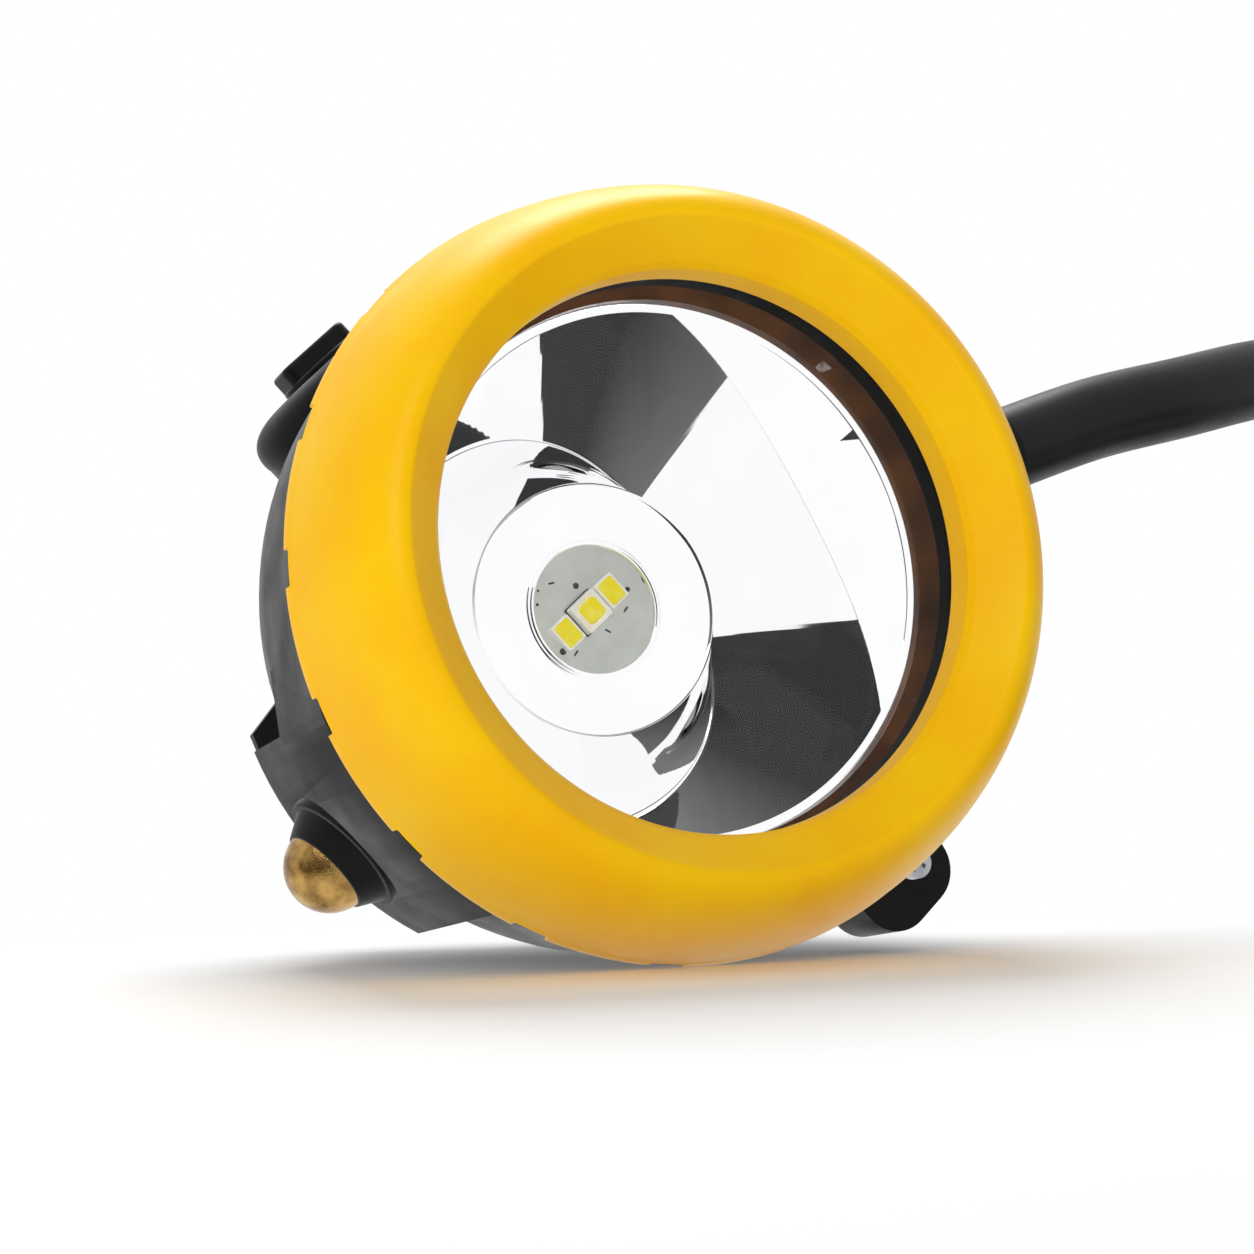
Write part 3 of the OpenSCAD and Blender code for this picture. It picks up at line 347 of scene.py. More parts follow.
# Detail of the clouds and of the grain, the part of the clouds that blends the colours and the
# roughness, and the depth of the grain in metres.
CLOUD_DETAIL, GRAIN_DETAIL = 5, 3
COLOUR_SPAN, ROUGH_SPAN = (0.35, 0.68), (0.3, 0.7)
GRAIN_DEPTH = 0.1 * MM

made_finishes = {}


def new_material(name):
    """A material and its nodes."""
    material = bpy.data.materials.new(name)
    material.use_nodes = True
    return material, material.node_tree


def set_inputs(node, values):
    """Sets a node's sockets by name."""
    for name, value in values.items():
        node.inputs[name].default_value = value


def set_ramp(ramp, places, colours):
    """Sets the places and the colours of a ramp's two stops."""
    for stop, place, colour in zip(ramp.color_ramp.elements, places, colours):
        stop.position = place
        stop.color = (*colour, 1)


def shade_from(tree, socket):
    """Leads a socket to a material's output in place of its first shader."""
    tree.links.new(socket, tree.nodes["Material Output"].inputs["Surface"])


def object_coordinates(tree):
    """The place on an object, in metres."""
    return tree.nodes.new("ShaderNodeTexCoord").outputs["Object"]


def noise(tree, size, detail):
    """A noise through an object, of a size in millimetres."""
    node = tree.nodes.new("ShaderNodeTexNoise")
    set_inputs(node, {"Scale": 1 / (size * MM), "Detail": detail})
    tree.links.new(object_coordinates(tree), node.inputs["Vector"])
    return node.outputs["Fac"]


def finish(slot):
    """The material of a record slot.

    Clouds blend its two colours and its roughness, and a fine noise is its grain.
    """
    if slot in made_finishes:
        return made_finishes[slot]
    settings = bpy.context.scene.caplamp_colours
    colour = getattr(settings, slot, TONES[slot][0])
    clouded = getattr(settings, slot + "_clouds", TONES[slot][1])
    smoothest, roughest, metal, cloud_size, grain_size, grain_height = SURFACES[slot]
    material, tree = new_material(slot)
    nodes, links = tree.nodes, tree.links
    shader = nodes["Principled BSDF"]
    set_inputs(shader, {"Metallic": metal, **SOCKETS.get(slot, {})})
    clouds = noise(tree, cloud_size, CLOUD_DETAIL)
    ramp = nodes.new("ShaderNodeValToRGB")
    set_ramp(ramp, COLOUR_SPAN, (colour, clouded))
    links.new(clouds, ramp.inputs["Fac"])
    links.new(ramp.outputs["Color"], shader.inputs["Base Color"])
    rough = nodes.new("ShaderNodeMapRange")
    set_inputs(rough, {"From Min": ROUGH_SPAN[0], "From Max": ROUGH_SPAN[1]})
    set_inputs(rough, {"To Min": smoothest, "To Max": roughest})
    links.new(clouds, rough.inputs["Value"])
    links.new(rough.outputs["Result"], shader.inputs["Roughness"])
    if grain_height:
        bump = nodes.new("ShaderNodeBump")
        set_inputs(bump, {"Strength": grain_height, "Distance": GRAIN_DEPTH})
        links.new(noise(tree, grain_size, GRAIN_DETAIL), bump.inputs["Height"])
        links.new(bump.outputs["Normal"], shader.inputs["Normal"])
    made_finishes[slot] = material
    return material


# Pieces --------------------------------------------------------------------

# Points closer than this many metres are one.
MERGE_M = 1e-7

# How a CAD node's edges are rounded: the reach of the weld in metres, the steps of the rounding,
# and the angle in degrees from which an edge is rounded.
WELD_M, EDGE_STEPS, EDGE_ANGLE = 0.01 * MM, 3, 32


def mesh_of(name, form):
    """A mesh with a form's points and faces."""
    mesh = bpy.data.meshes.new(name)
    mesh.from_pydata(form.points.tolist(), [], form.faces)
    return mesh


def put(name, data):
    """A new object in the scene."""
    thing = bpy.data.objects.new(name, data)
    bpy.context.scene.collection.objects.link(thing)
    return thing


def add_piece(name, form, slot, replaces=(), body="housing", place=LAY, crease=35):
    """Makes a form into an object on a body.

    Its points go to the row frame, poles and seams are merged, faces turn outwards, and edges past
    crease, in degrees, stay sharp.
    """
    mesh = mesh_of(name, form.moved(place))
    work = bmesh.new()
    work.from_mesh(mesh)
    bmesh.ops.remove_doubles(work, verts=work.verts, dist=MERGE_M)
    bmesh.ops.recalc_face_normals(work, faces=work.faces)
    work.to_mesh(mesh)
    work.free()
    mesh.shade_smooth()
    mesh.set_sharp_from_angle(angle=math.radians(crease))
    mesh.materials.append(finish(slot))
    piece = put(name, mesh)
    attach(piece, body)
    if replaces:
        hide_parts(*replaces)
    return piece


def dress(node, slot, edge):
    """Gives a CAD node its finish, and rounds its edges by modifiers that leave its mesh alone."""
    piece = frame["nodes"][node]
    piece.data.materials.clear()
    piece.data.materials.append(finish(slot))
    if edge:
        weld = piece.modifiers.new("weld", "WELD")
        weld.merge_threshold = WELD_M
        bevel = piece.modifiers.new("edges", "BEVEL")
        bevel.width = edge * MM
        bevel.segments = EDGE_STEPS
        bevel.angle_limit = math.radians(EDGE_ANGLE)
        bevel.harden_normals = True


def span_of(node, turn, height):
    """How far out a node starts and ends along a line outwards from the light axis, in mm."""
    axis = LAY @ radial(turn, height)
    start, way = np.array(axis.translation), np.array(axis.col[2])[:3]
    points = np.empty(len(frame["nodes"][node].data.vertices) * 3)
    frame["nodes"][node].data.vertices.foreach_get("co", points)
    along = (points.reshape(-1, 3) - start) @ (way / MM**2)
    return float(along.min()), float(along.max())


# Settings ------------------------------------------------------------------


class StageSettings(bpy.types.PropertyGroup):
    """The camera and its lights."""

    eye: bpy.props.FloatVectorProperty(
        name="Camera place",
        description="Where the camera stands",
        default=(-0.103087, -0.234473, 0.020245),
        subtype="TRANSLATION",
    )
    turn: bpy.props.FloatVectorProperty(
        name="Camera turn",
        description="How the camera is turned",
        default=[math.radians(a) for a in (92.90504, 1.02452, -22.5459)],
        subtype="EULER",
    )
    focal: bpy.props.FloatProperty(
        name="Focal length",
        description="Focal length of the camera, in millimetres",
        default=71.7703,
        min=10,
        subtype="DISTANCE_CAMERA",
    )
    sky: bpy.props.FloatProperty(
        name="Sky", description="Strength of the light from all around", default=0.47, min=0
    )
    key: bpy.props.FloatProperty(
        name="Key light",
        description="Power of the soft light above and behind",
        default=1.6,
        min=0,
        subtype="POWER",
    )
    fill: bpy.props.FloatProperty(
        name="Fill light",
        description="Power of the front light, which casts no shadow",
        default=3.0,
        min=0,
        subtype="POWER",
    )


class ColourSettings(bpy.types.PropertyGroup):
    """The finishes that show most, each with its colour and the second one that clouds it."""

    bezel_yellow: bpy.props.FloatVectorProperty(
        name="Front ring",
        description="Colour of the front ring",
        default=TONES["bezel_yellow"][0],
        min=0,
        max=1,
        subtype="COLOR",
    )
    bezel_yellow_clouds: bpy.props.FloatVectorProperty(
        name="Front ring clouds",
        description="Second colour of the front ring",
        default=TONES["bezel_yellow"][1],
        min=0,
        max=1,
        subtype="COLOR",
    )
    housing_black: bpy.props.FloatVectorProperty(
        name="Shell",
        description="Colour of the shell, the knob and the collar",
        default=TONES["housing_black"][0],
        min=0,
        max=1,
        subtype="COLOR",
    )
    housing_black_clouds: bpy.props.FloatVectorProperty(
        name="Shell clouds",
        description="Second colour of the shell, the knob and the collar",
        default=TONES["housing_black"][1],
        min=0,
        max=1,
        subtype="COLOR",
    )
    cable_rubber: bpy.props.FloatVectorProperty(
        name="Cable",
        description="Colour of the cable",
        default=TONES["cable_rubber"][0],
        min=0,
        max=1,
        subtype="COLOR",
    )
    cable_rubber_clouds: bpy.props.FloatVectorProperty(
        name="Cable clouds",
        description="Second colour of the cable",
        default=TONES["cable_rubber"][1],
        min=0,
        max=1,
        subtype="COLOR",
    )
    brass: bpy.props.FloatVectorProperty(
        name="Stud",
        description="Colour of the charging stud's brass",
        default=TONES["brass"][0],
        min=0,
        max=1,
        subtype="COLOR",
    )
    # The stud's second colour: tarnish and also painted reflection.
    brass_clouds: bpy.props.FloatVectorProperty(
        name="Stud tarnish and painted reflection",
        description="Second colour of the charging stud's brass",
        default=TONES["brass"][1],
        min=0,
        max=1,
        subtype="COLOR",
    )
    light_yellow: bpy.props.FloatVectorProperty(
        name="Emitters",
        description="Colour of the lights' yellow faces",
        default=TONES["light_yellow"][0],
        min=0,
        max=1,
        subtype="COLOR",
    )
    light_yellow_clouds: bpy.props.FloatVectorProperty(
        name="Emitter clouds",
        description="Second colour of the lights' yellow faces",
        default=TONES["light_yellow"][1],
        min=0,
        max=1,
        subtype="COLOR",
    )


class BezelSettings(bpy.types.PropertyGroup):
    """Sizes of the front ring."""

    rim_r: bpy.props.FloatProperty(
        name="Rim radius",
        description="Outer radius at the rear rim",
        default=RIM_R * MM,
        subtype="DISTANCE",
    )
    crest_r: bpy.props.FloatProperty(
        name="Crest radius",
        description="Radius of the foremost line",
        default=31.2 * MM,
        subtype="DISTANCE",
    )
    crest_z: bpy.props.FloatProperty(
        name="Crest height",
        description="Depth of the ring",
        default=15.8 * MM,
        subtype="DISTANCE",
    )
    opening_r: bpy.props.FloatProperty(
        name="Opening radius",
        description="Radius of the opening",
        default=27.0 * MM,
        subtype="DISTANCE",
    )
    notch_count: bpy.props.IntProperty(
        name="Notches", description="Number of grip notches", default=17, min=3
    )
    notch_w: bpy.props.FloatProperty(
        name="Notch width",
        description="Width of a notch",
        default=3.4 * MM,
        subtype="DISTANCE",
    )
    notch_h: bpy.props.FloatProperty(
        name="Notch height",
        description="Height of a notch",
        default=1.2 * MM,
        subtype="DISTANCE",
    )
    notch_deep: bpy.props.FloatProperty(
        name="Notch depth",
        description="Depth of a notch",
        default=1.7 * MM,
        subtype="DISTANCE",
    )
    notch_turn: bpy.props.FloatProperty(
        name="Notch turn",
        description="Angle of the first notch",
        default=math.radians(17.4),
        subtype="ANGLE",
    )


class OpticSettings(bpy.types.PropertyGroup):
    """Sizes of the reflector and place of the lights."""

    mirror_r: bpy.props.FloatProperty(
        name="Mirror radius",
        description="Radius of the mirror's rim",
        default=26.1 * MM,
        subtype="DISTANCE",
    )
    floor_r: bpy.props.FloatProperty(
        name="Floor radius",
        description="Radius of the mirror's floor",
        default=13.3 * MM,
        subtype="DISTANCE",
    )
    hole_r: bpy.props.FloatProperty(
        name="Hole radius",
        description="Radius of the hole for the lights",
        default=6.7 * MM,
        subtype="DISTANCE",
    )
    deep: bpy.props.FloatProperty(
        name="Depth",
        description="Depth of the mirror's floor",
        default=19.2 * MM,
        subtype="DISTANCE",
    )
    light_z: bpy.props.FloatProperty(
        name="Board height",
        description="Height of the light board's face",
        default=-21.3 * MM,
        subtype="DISTANCE",
    )


class SwitchSettings(bpy.types.PropertyGroup):
    """Sizes of the switch knob and its boss."""

    turn: bpy.props.FloatProperty(
        name="Place",
        description="Angle of the knob round the lamp",
        default=math.radians(181),
        subtype="ANGLE",
    )
    knob_r: bpy.props.FloatProperty(
        name="Knob radius",
        description="Radius of the knob's disc",
        default=4.9 * MM,
        subtype="DISTANCE",
    )
    boss_r: bpy.props.FloatProperty(
        name="Boss radius",
        description="Radius of the boss under the knob",
        default=11 * MM,
        subtype="DISTANCE",
    )
    bar_l: bpy.props.FloatProperty(
        name="Bar length",
        description="Length of the grip bar",
        default=9 * MM,
        subtype="DISTANCE",
    )
    bar_t: bpy.props.FloatProperty(
        name="Bar width",
        description="Width of the grip bar",
        default=5.4 * MM,
        subtype="DISTANCE",
    )
    bar_turn: bpy.props.FloatProperty(
        name="Bar turn",
        description="Angle of the grip bar",
        default=math.radians(-90),
        subtype="ANGLE",
    )


class StudSettings(bpy.types.PropertyGroup):
    """Sizes of the charging stud."""

    dome_r: bpy.props.FloatProperty(
        name="Dome radius",
        description="Radius of the brass dome",
        default=4.6 * MM,
        subtype="DISTANCE",
    )
    tip: bpy.props.FloatProperty(
        name="Tip",
        description="Distance of the dome's tip from the light axis",
        default=43.6 * MM,
        subtype="DISTANCE",
    )


def sizes(settings):
    """The values of a group of settings, with its lengths in millimetres."""
    values = {}
    for name in type(settings).__annotations__:
        value = getattr(settings, name)
        is_length = settings.bl_rna.properties[name].unit == "LENGTH"
        values[name] = value / MM if is_length else value
    return SimpleNamespace(**values)


# Stage ---------------------------------------------------------------------

# The camera's sensor in millimetres, and the nearest that it sees in metres.
SENSOR_WIDE, NEAREST = 36, 0.01

# Lights: where each stands, where it points and how wide it is, in row metres.
KEY_PLACE, KEY_AIM, KEY_WIDE = (0.04, 0.20, 0.44), (-0.01, 0, 0.04), 0.26
FILL_PLACE, FILL_AIM, FILL_WIDE = (-0.60, -0.62, 0.46), (0, 0, 0.04), 0.5

# The floor's half width and colour, the middle of the part that takes shadows, and the distances
# at which it starts to turn into plain white and has done so.
FLOOR_HALF, FLOOR_PALE = 3.0, (0.97, 0.97, 0.97, 1)
SHADE_MID, SHADE_FROM, SHADE_TO = (-0.035, -0.085, 0), 0.085, 0.145

# The dark card, in row metres, and in angles from +Y towards +X: its two ends in degrees and its
# points between them, where its sector ends and its wall starts, the sector's inner radius, the
# inner radius past its end, the outer radius, its lift off the floor, the wall's top, and the top
# where there is no wall. Its grey goes from the first to the second between two heights.
CARD_ENDS, CARD_POINTS = (-178, -105), 74
SECTOR_END, WALL_START = math.radians(-119), math.radians(-165)
CARD_NEAR, CARD_SLIVER, CARD_FAR, CARD_LIFT = 0.064, 0.699, 0.7, 0.0006
WALL_TALL, WALL_LOW = 0.5, 0.001
CARD_SPAN, CARD_GREYS = (0.0, 0.42), ((0.022, 0.022, 0.023), (0.17, 0.17, 0.17))


class CAPLAMP_OT_stage(bpy.types.Operator):
    """Camera, lights, floor and white surroundings"""

    bl_idname = "caplamp.stage"
    bl_label = "Stage"

    def execute(self, context):
        settings = context.scene.caplamp_stage
        data = bpy.data.cameras.new("camera")
        data.sensor_width = SENSOR_WIDE
        data.lens = settings.focal
        data.clip_start = NEAREST
        camera = put("camera", data)
        camera.location = settings.eye
        camera.rotation_euler = settings.turn
        context.scene.camera = camera
        context.scene.view_settings.view_transform = "Standard"
        self.surroundings(context, settings.sky)
        self.floor()
        self.dark_side()
        self.light("key", KEY_PLACE, KEY_AIM, KEY_WIDE, settings.key)
        self.light("fill", FILL_PLACE, FILL_AIM, FILL_WIDE, settings.fill).use_shadow = False
        return {"FINISHED"}

    def surroundings(self, context, sky):
        """White for what is seen directly, in gloss or through glass; sky for what it lights."""
        world = bpy.data.worlds.new("surroundings")
        context.scene.world = world
        world.use_nodes = True
        nodes, links = world.node_tree.nodes, world.node_tree.links
        back = nodes["Background"]
        set_inputs(back, {"Color": (1, 1, 1, 1)})
        path = nodes.new("ShaderNodeLightPath")
        strength = nodes.new("ShaderNodeMapRange")
        set_inputs(strength, {"To Min": 1.0, "To Max": sky})
        links.new(path.outputs["Is Diffuse Ray"], strength.inputs["Value"])
        links.new(strength.outputs["Result"], back.inputs["Strength"])

    def floor(self):
        """A pale floor that keeps the shadow near the lamp and is plain white away from it."""
        s = FLOOR_HALF
        corners = [(-s, -s, 0), (s, -s, 0), (s, s, 0), (-s, s, 0)]
        floor = put("floor", mesh_of("floor", Form(corners, [(0, 1, 2, 3)])))
        material, tree = new_material("floor_white")
        nodes, links = tree.nodes, tree.links
        shader = nodes["Principled BSDF"]
        set_inputs(shader, {"Base Color": FLOOR_PALE, "Roughness": 1.0, "Specular IOR Level": 0.0})
        white = nodes.new("ShaderNodeEmission")
        away = nodes.new("ShaderNodeVectorMath")
        away.operation = "DISTANCE"
        away.inputs[1].default_value = SHADE_MID
        links.new(object_coordinates(tree), away.inputs[0])
        far = nodes.new("ShaderNodeMapRange")
        far.interpolation_type = "SMOOTHSTEP"
        set_inputs(far, {"From Min": SHADE_FROM, "From Max": SHADE_TO})
        links.new(away.outputs["Value"], far.inputs["Value"])
        path = nodes.new("ShaderNodeLightPath")
        either = nodes.new("ShaderNodeMath")
        either.operation = "MAXIMUM"
        links.new(far.outputs["Result"], either.inputs[0])
        links.new(path.outputs["Is Glossy Ray"], either.inputs[1])
        mix = nodes.new("ShaderNodeMixShader")
        links.new(either.outputs["Value"], mix.inputs["Fac"])
        links.new(shader.outputs["BSDF"], mix.inputs[1])
        links.new(white.outputs["Emission"], mix.inputs[2])
        shade_from(tree, mix.outputs["Shader"])
        floor.data.materials.append(material)

    def dark_side(self):
        """A dark card beside the camera, seen only in gloss: it gives the mirror its dark sectors.

        A sector of a ring lies just above the floor. A wall stands at its outer edge, starts some
        way into the sector and goes on past it. Point (r, a, z) is at x = r sin a, y = r cos a.
        """
        a = np.radians(np.linspace(*CARD_ENDS, CARD_POINTS))
        near = np.where(a < SECTOR_END, CARD_NEAR, CARD_SLIVER)
        lift = np.full(CARD_POINTS, CARD_LIFT)
        tall = np.where(a > WALL_START, WALL_TALL, WALL_LOW)
        rows = [(near, lift), (CARD_FAR, lift), (CARD_FAR, tall)]
        rings = [np.stack([r * np.sin(a), r * np.cos(a), z], -1) for r, z in rows]
        card = put("dark_card", mesh_of("dark_card", grid(rings, around=False)))
        card.visible_camera = card.visible_diffuse = False
        card.visible_shadow = card.visible_volume_scatter = False
        material, tree = new_material("card_black")
        nodes, links = tree.nodes, tree.links
        black = nodes.new("ShaderNodeEmission")
        split = nodes.new("ShaderNodeSeparateXYZ")
        ramp = nodes.new("ShaderNodeValToRGB")
        set_ramp(ramp, CARD_SPAN, CARD_GREYS)
        links.new(object_coordinates(tree), split.inputs["Vector"])
        links.new(split.outputs["Z"], ramp.inputs["Fac"])
        links.new(ramp.outputs["Color"], black.inputs["Color"])
        shade_from(tree, black.outputs["Emission"])
        card.data.materials.append(material)

    def light(self, name, place, aim, wide, power):
        """A square light at a place, turned towards what it aims at."""
        data = bpy.data.lights.new(name, "AREA")
        data.size = wide
        data.energy = power
        lamp = put(name, data)
        lamp.location = place
        x, y, z = np.subtract(aim, place)
        lamp.rotation_euler = (math.atan2(math.hypot(x, y), -z), 0, math.atan2(y, x) - TAU / 4)
        return data


# Front ring ----------------------------------------------------------------

# The ring's walls beside its bore and its lens chamber, the heights of its lip, its seat and its
# bevel, and the width over which a notch fades out at each side.
BORE_WALL, CHAMBER_WALL = 3.6, 3.2
LIP_Z, SEAT_Z, BEVEL_Z = 8.1, 5.1, 11.6
NOTCH_FADE = 0.125


def bezel_surface(s):
    """The front ring: a profile turned about the light axis, with notches in its rear rim.

    Two profiles of equal count are blended by angle: P = (1 - c) plain + c notched, where c is 1
    within a notch and falls to 0 over its fade. The outside is a cubic Bezier curve from rim to
    crest. Each profile goes from the bore's foot out, up and forwards, and back down inside.
    """
    rim, crest, top, opening = s.rim_r, s.crest_r, s.crest_z, s.opening_r
    floor, h = rim - s.notch_deep, s.notch_h
    bore, chamber = rim - BORE_WALL, opening + CHAMBER_WALL
    foot = [(bore, 0.25), (bore + 0.07, 0.07), (bore + 0.25, 0)]
    plain = [
        (floor - 0.2, 0), (floor, 0), (rim - 0.9, 0), (rim - 0.25, 0),
        (rim - 0.07, 0.07), (rim - 0.01, 0.3), (rim - 0.06, 0.9), (rim - 0.13, 1.35),
    ]
    notched = [
        (floor - 0.2, 0), (floor - 0.04, 0.05), (floor, 0.22), (floor, h - 0.5),
        (floor + 0.05, h - 0.12), (floor + 0.2, h), (rim - 0.3, h), (rim - 0.13, 1.35),
    ]
    outside = bezier([(rim, 0), (rim - 1.2, 0.52 * top), (crest + 3.2, top), (crest, top)], 40)[3:]
    outside = outside[outside[:, 0] > crest + 0.3]
    front = [
        (crest + 0.4, top, 0), (crest - 0.3, top - 0.05, 0.7),
        (opening + 0.5, BEVEL_Z + 0.55, 0.45), (opening, BEVEL_Z - 0.25, 0.3), (opening, LIP_Z, 0),
    ]
    inside = [
        (opening, LIP_Z + 0.5, 0), (opening, LIP_Z, 0.15), (chamber, LIP_Z, 0.1),
        (chamber, SEAT_Z, 0.1), (bore, SEAT_Z, 0.15), (bore, 0.3, 0),
    ]
    rest = [outside, soften(front, closed=False)[1:-1], soften(inside, closed=False)[1:]]
    plain, notched = (np.vstack([foot, start, *rest]) for start in (plain, notched))

    pitch, half, fade = TAU / s.notch_count, s.notch_w / 2 / rim, NOTCH_FADE / rim
    between = np.linspace(half + fade, pitch - half - fade, 11)[1:-1]
    apart = np.r_[-half - fade, -half, -half / 3, half / 3, half, half + fade, between]
    is_notch = np.abs(apart) <= half + 1e-9
    a = (s.notch_turn + np.arange(s.notch_count)[:, None] * pitch + apart).ravel()
    c = np.tile(is_notch.astype(float), s.notch_count)[None, :, None]
    r, z = np.moveaxis(plain[:, None] * (1 - c) + notched[:, None] * c, -1, 0)
    return grid(np.stack([r * np.cos(a), r * np.sin(a), z], -1), along=True)


class CAPLAMP_OT_bezel(bpy.types.Operator):
    """The yellow front ring"""

    bl_idname = "caplamp.bezel"
    bl_label = "Front ring"

    def execute(self, context):
        ring = bezel_surface(sizes(context.scene.caplamp_bezel))
        add_piece("bezel_ring", ring, "bezel_yellow", ["bezel"], "front_ring", crease=50)
        return {"FINISHED"}


# Optics --------------------------------------------------------------------

# The reflector's wall at its hole and under its floor, its lip, and its flange's reach and depth.
HOLE_WALL, MIRROR_WALL, MIRROR_LIP, FLANGE_WIDE, FLANGE_DEEP = 1, 1.1, 0.8, 3.3, 1.2

LENS_R, LENS_LOW, LENS_HIGH = 29.4, 1.8, 5.3

# The main light's side and height, its lit part's inset, and the side lights' distance from it. The
# side lights and their windows are (length, width, corner).
MAIN_SIDE, MAIN_TALL, LIT_INSET, SIDE_ROW = 3.5, 1.45, 0.6, 3.45
SIDE_BODY, SIDE_WINDOW = (3.2, 2.6, 0.2), (2.75, 2.05, 0.3)

# The marks on the board: their height and edge, dots as (x, y, radius), and strokes as (x, y,
# degrees) of one (length, width, corner).
MARK_TALL, MARK_EDGE = 0.04, 0.01
DOTS = [
    (-2.9, 1.1, 0.34), (1.1, -5.0, 0.36), (1.2, 5.3, 0.28), (-4.3, -3.6, 0.16), (-5.3, -2.5, 0.14),
]
STROKES = [(2.9, 0.4, 20), (2.2, -4.0, 100), (2.6, 3.6, 100), (-4.9, -0.8, 60)]
STROKE = (0.75, 0.2, 0.09)


def mirror_profile(s):
    """The reflector's section: a bead round its hole, its floor, cone and flange, and its back."""
    z, floor, rim, hole = -s.deep, s.floor_r, s.mirror_r, s.hole_r
    wall, back = hole + HOLE_WALL, z - MIRROR_WALL
    bead = [
        (hole, s.light_z), (hole, z - 0.3), (hole + 0.06, z + 0.15), (hole + 0.24, z + 0.38),
        (hole + 0.45, z + 0.4), (hole + 0.66, z + 0.2), (hole + 0.8, z),
    ]
    cone = [
        (wall, z, 0), (floor, z, 0.8), (rim, MIRROR_LIP, 0.22),
        (rim + MIRROR_LIP, MIRROR_LIP, 0.25), (rim + MIRROR_LIP, 0, 0.1),
        (rim + FLANGE_WIDE, 0, 0.1), (rim + FLANGE_WIDE, -FLANGE_DEEP, 0),
    ]
    outside = [(rim + 0.5, -FLANGE_DEEP), (floor + 1.3, back), (wall, back), (wall, s.light_z)]
    return np.vstack([bead, soften(cone, steps=6, closed=False), outside])


def shifted(x, y):
    """A shift across the light axis."""
    return Matrix.Translation((x, y, 0))


class CAPLAMP_OT_optics(bpy.types.Operator):
    """The reflector, the lens and the lights on their board"""

    bl_idname = "caplamp.optics"
    bl_label = "Optics"

    def execute(self, context):
        s = sizes(context.scene.caplamp_optics)
        add_piece("reflector_cup", lathe(mirror_profile(s)), "mirror", ["reflector"], crease=60)
        glass = [
            (0, LENS_LOW, 0), (LENS_R, LENS_LOW, 0.25),
            (LENS_R, LENS_HIGH, 0.35), (0, LENS_HIGH, 0),
        ]
        lens = lathe(soften(glass, closed=False), closed=False)
        add_piece("lens_window", lens, "lens_clear", ["lens"])
        self.lights(s.light_z)
        self.marks(s.light_z)
        return {"FINISHED"}

    def lights(self, z):
        """A square light with a lit dome, a dark plate of painted shadow under it, and two smaller
        side lights.
        """
        side, top = MAIN_SIDE, z + MAIN_TALL
        package = block(side, side, 0.25, low=z, high=top, edge=0.12, dish=0.12, rim=0.22)
        add_piece("main_light_package", package, "light_white", ["main_light"])
        # A dark plate a little wider than the main light, under it: painted shadow at its foot.
        foot = block(side + 0.25, side + 0.25, 0.2, low=z, high=z + 0.2, edge=0.05)
        add_piece("main_light_shadow_plate", foot, "parts_dark")
        lit = side - 2 * LIT_INSET
        dome = block(lit, lit, 0.5, low=top - 0.15, high=top + 0.4, edge=0.22)
        add_piece("main_light_dome", dome, "light_yellow", ["main_emitter"])
        bodies, windows = Form(), Form()
        for y in (-SIDE_ROW, SIDE_ROW):
            body = block(*SIDE_BODY, low=z, high=z + 0.9, edge=0.1)
            window = block(*SIDE_WINDOW, low=z + 0.8, high=z + 0.98, edge=0.08)
            bodies += body.moved(shifted(0, y))
            windows += window.moved(shifted(0, y))
        add_piece("side_light_packages", bodies, "light_white", ["side_lights"])
        add_piece("side_light_windows", windows, "light_yellow", ["side_emitters"])

    def marks(self, z):
        """Dots and strokes printed on the board."""
        marks = Form()
        for x, y, r in DOTS:
            marks += dot(r, z, z + MARK_TALL, MARK_EDGE).moved(shifted(x, y))
        for x, y, turn in STROKES:
            place = shifted(x, y) @ Matrix.Rotation(math.radians(turn), 4, "Z")
            marks += block(*STROKE, z, z + MARK_TALL, MARK_EDGE).moved(place)
        add_piece("board_marks", marks, "parts_dark")


# Switch --------------------------------------------------------------------

# The knob's height along the light axis, its stem's radius, how far its disc's top is under its
# bar's, and how far back its boss goes.
SWITCH_Z = -29
STEM_R, DISC_DROP, BOSS_BACK_Z = 2.0, 1.9, -38


class CAPLAMP_OT_switch(bpy.types.Operator):
    """The switch knob, a round disc with a grip bar, and the domed boss under it"""

    bl_idname = "caplamp.switch"
    bl_label = "Switch knob"

    def execute(self, context):
        s = sizes(context.scene.caplamp_switch)
        r, wide, place = s.knob_r, s.boss_r, radial(s.turn, SWITCH_Z)
        low, high = span_of("switch_knob", s.turn, SWITCH_Z)
        top = high - DISC_DROP
        disc = soften([(STEM_R, low, 0), (r, low, 0.2), (r, top, 0.3), (STEM_R, top, 0)])
        bar = block(s.bar_l, s.bar_t, 1.2, low=low + 0.5, high=high, edge=0.5, dish=0.4, rim=0.7)
        knob = lathe(disc, 160) + bar.moved(Matrix.Rotation(s.bar_turn, 4, "Z"))
        add_piece("switch_grip", knob, "housing_black", ["switch_knob"], "switch", LAY @ place)
        gap = [(r + 0.25, low - 1.5), (r + 0.25, low + 0.35), (r + 0.45, low + 0.5)]
        dome = [
            (r + 0.7, low + 0.55), (wide - 1.6, low + 0.6),
            (wide + 0.7, low - 0.5), (wide + 0.5, low - 3.2),
        ]
        foot = [(wide + 0.1, low - 5.5), (wide - 3, low - 5.5)]
        boss = lathe(np.vstack([gap, bezier(dome, 24), foot]), 160).moved(place)
        boss.points[:, 2] = np.clip(boss.points[:, 2], BOSS_BACK_Z, None)
        add_piece("switch_boss_dome", boss, "housing_black")
        return {"FINISHED"}


# Charging stud -------------------------------------------------------------

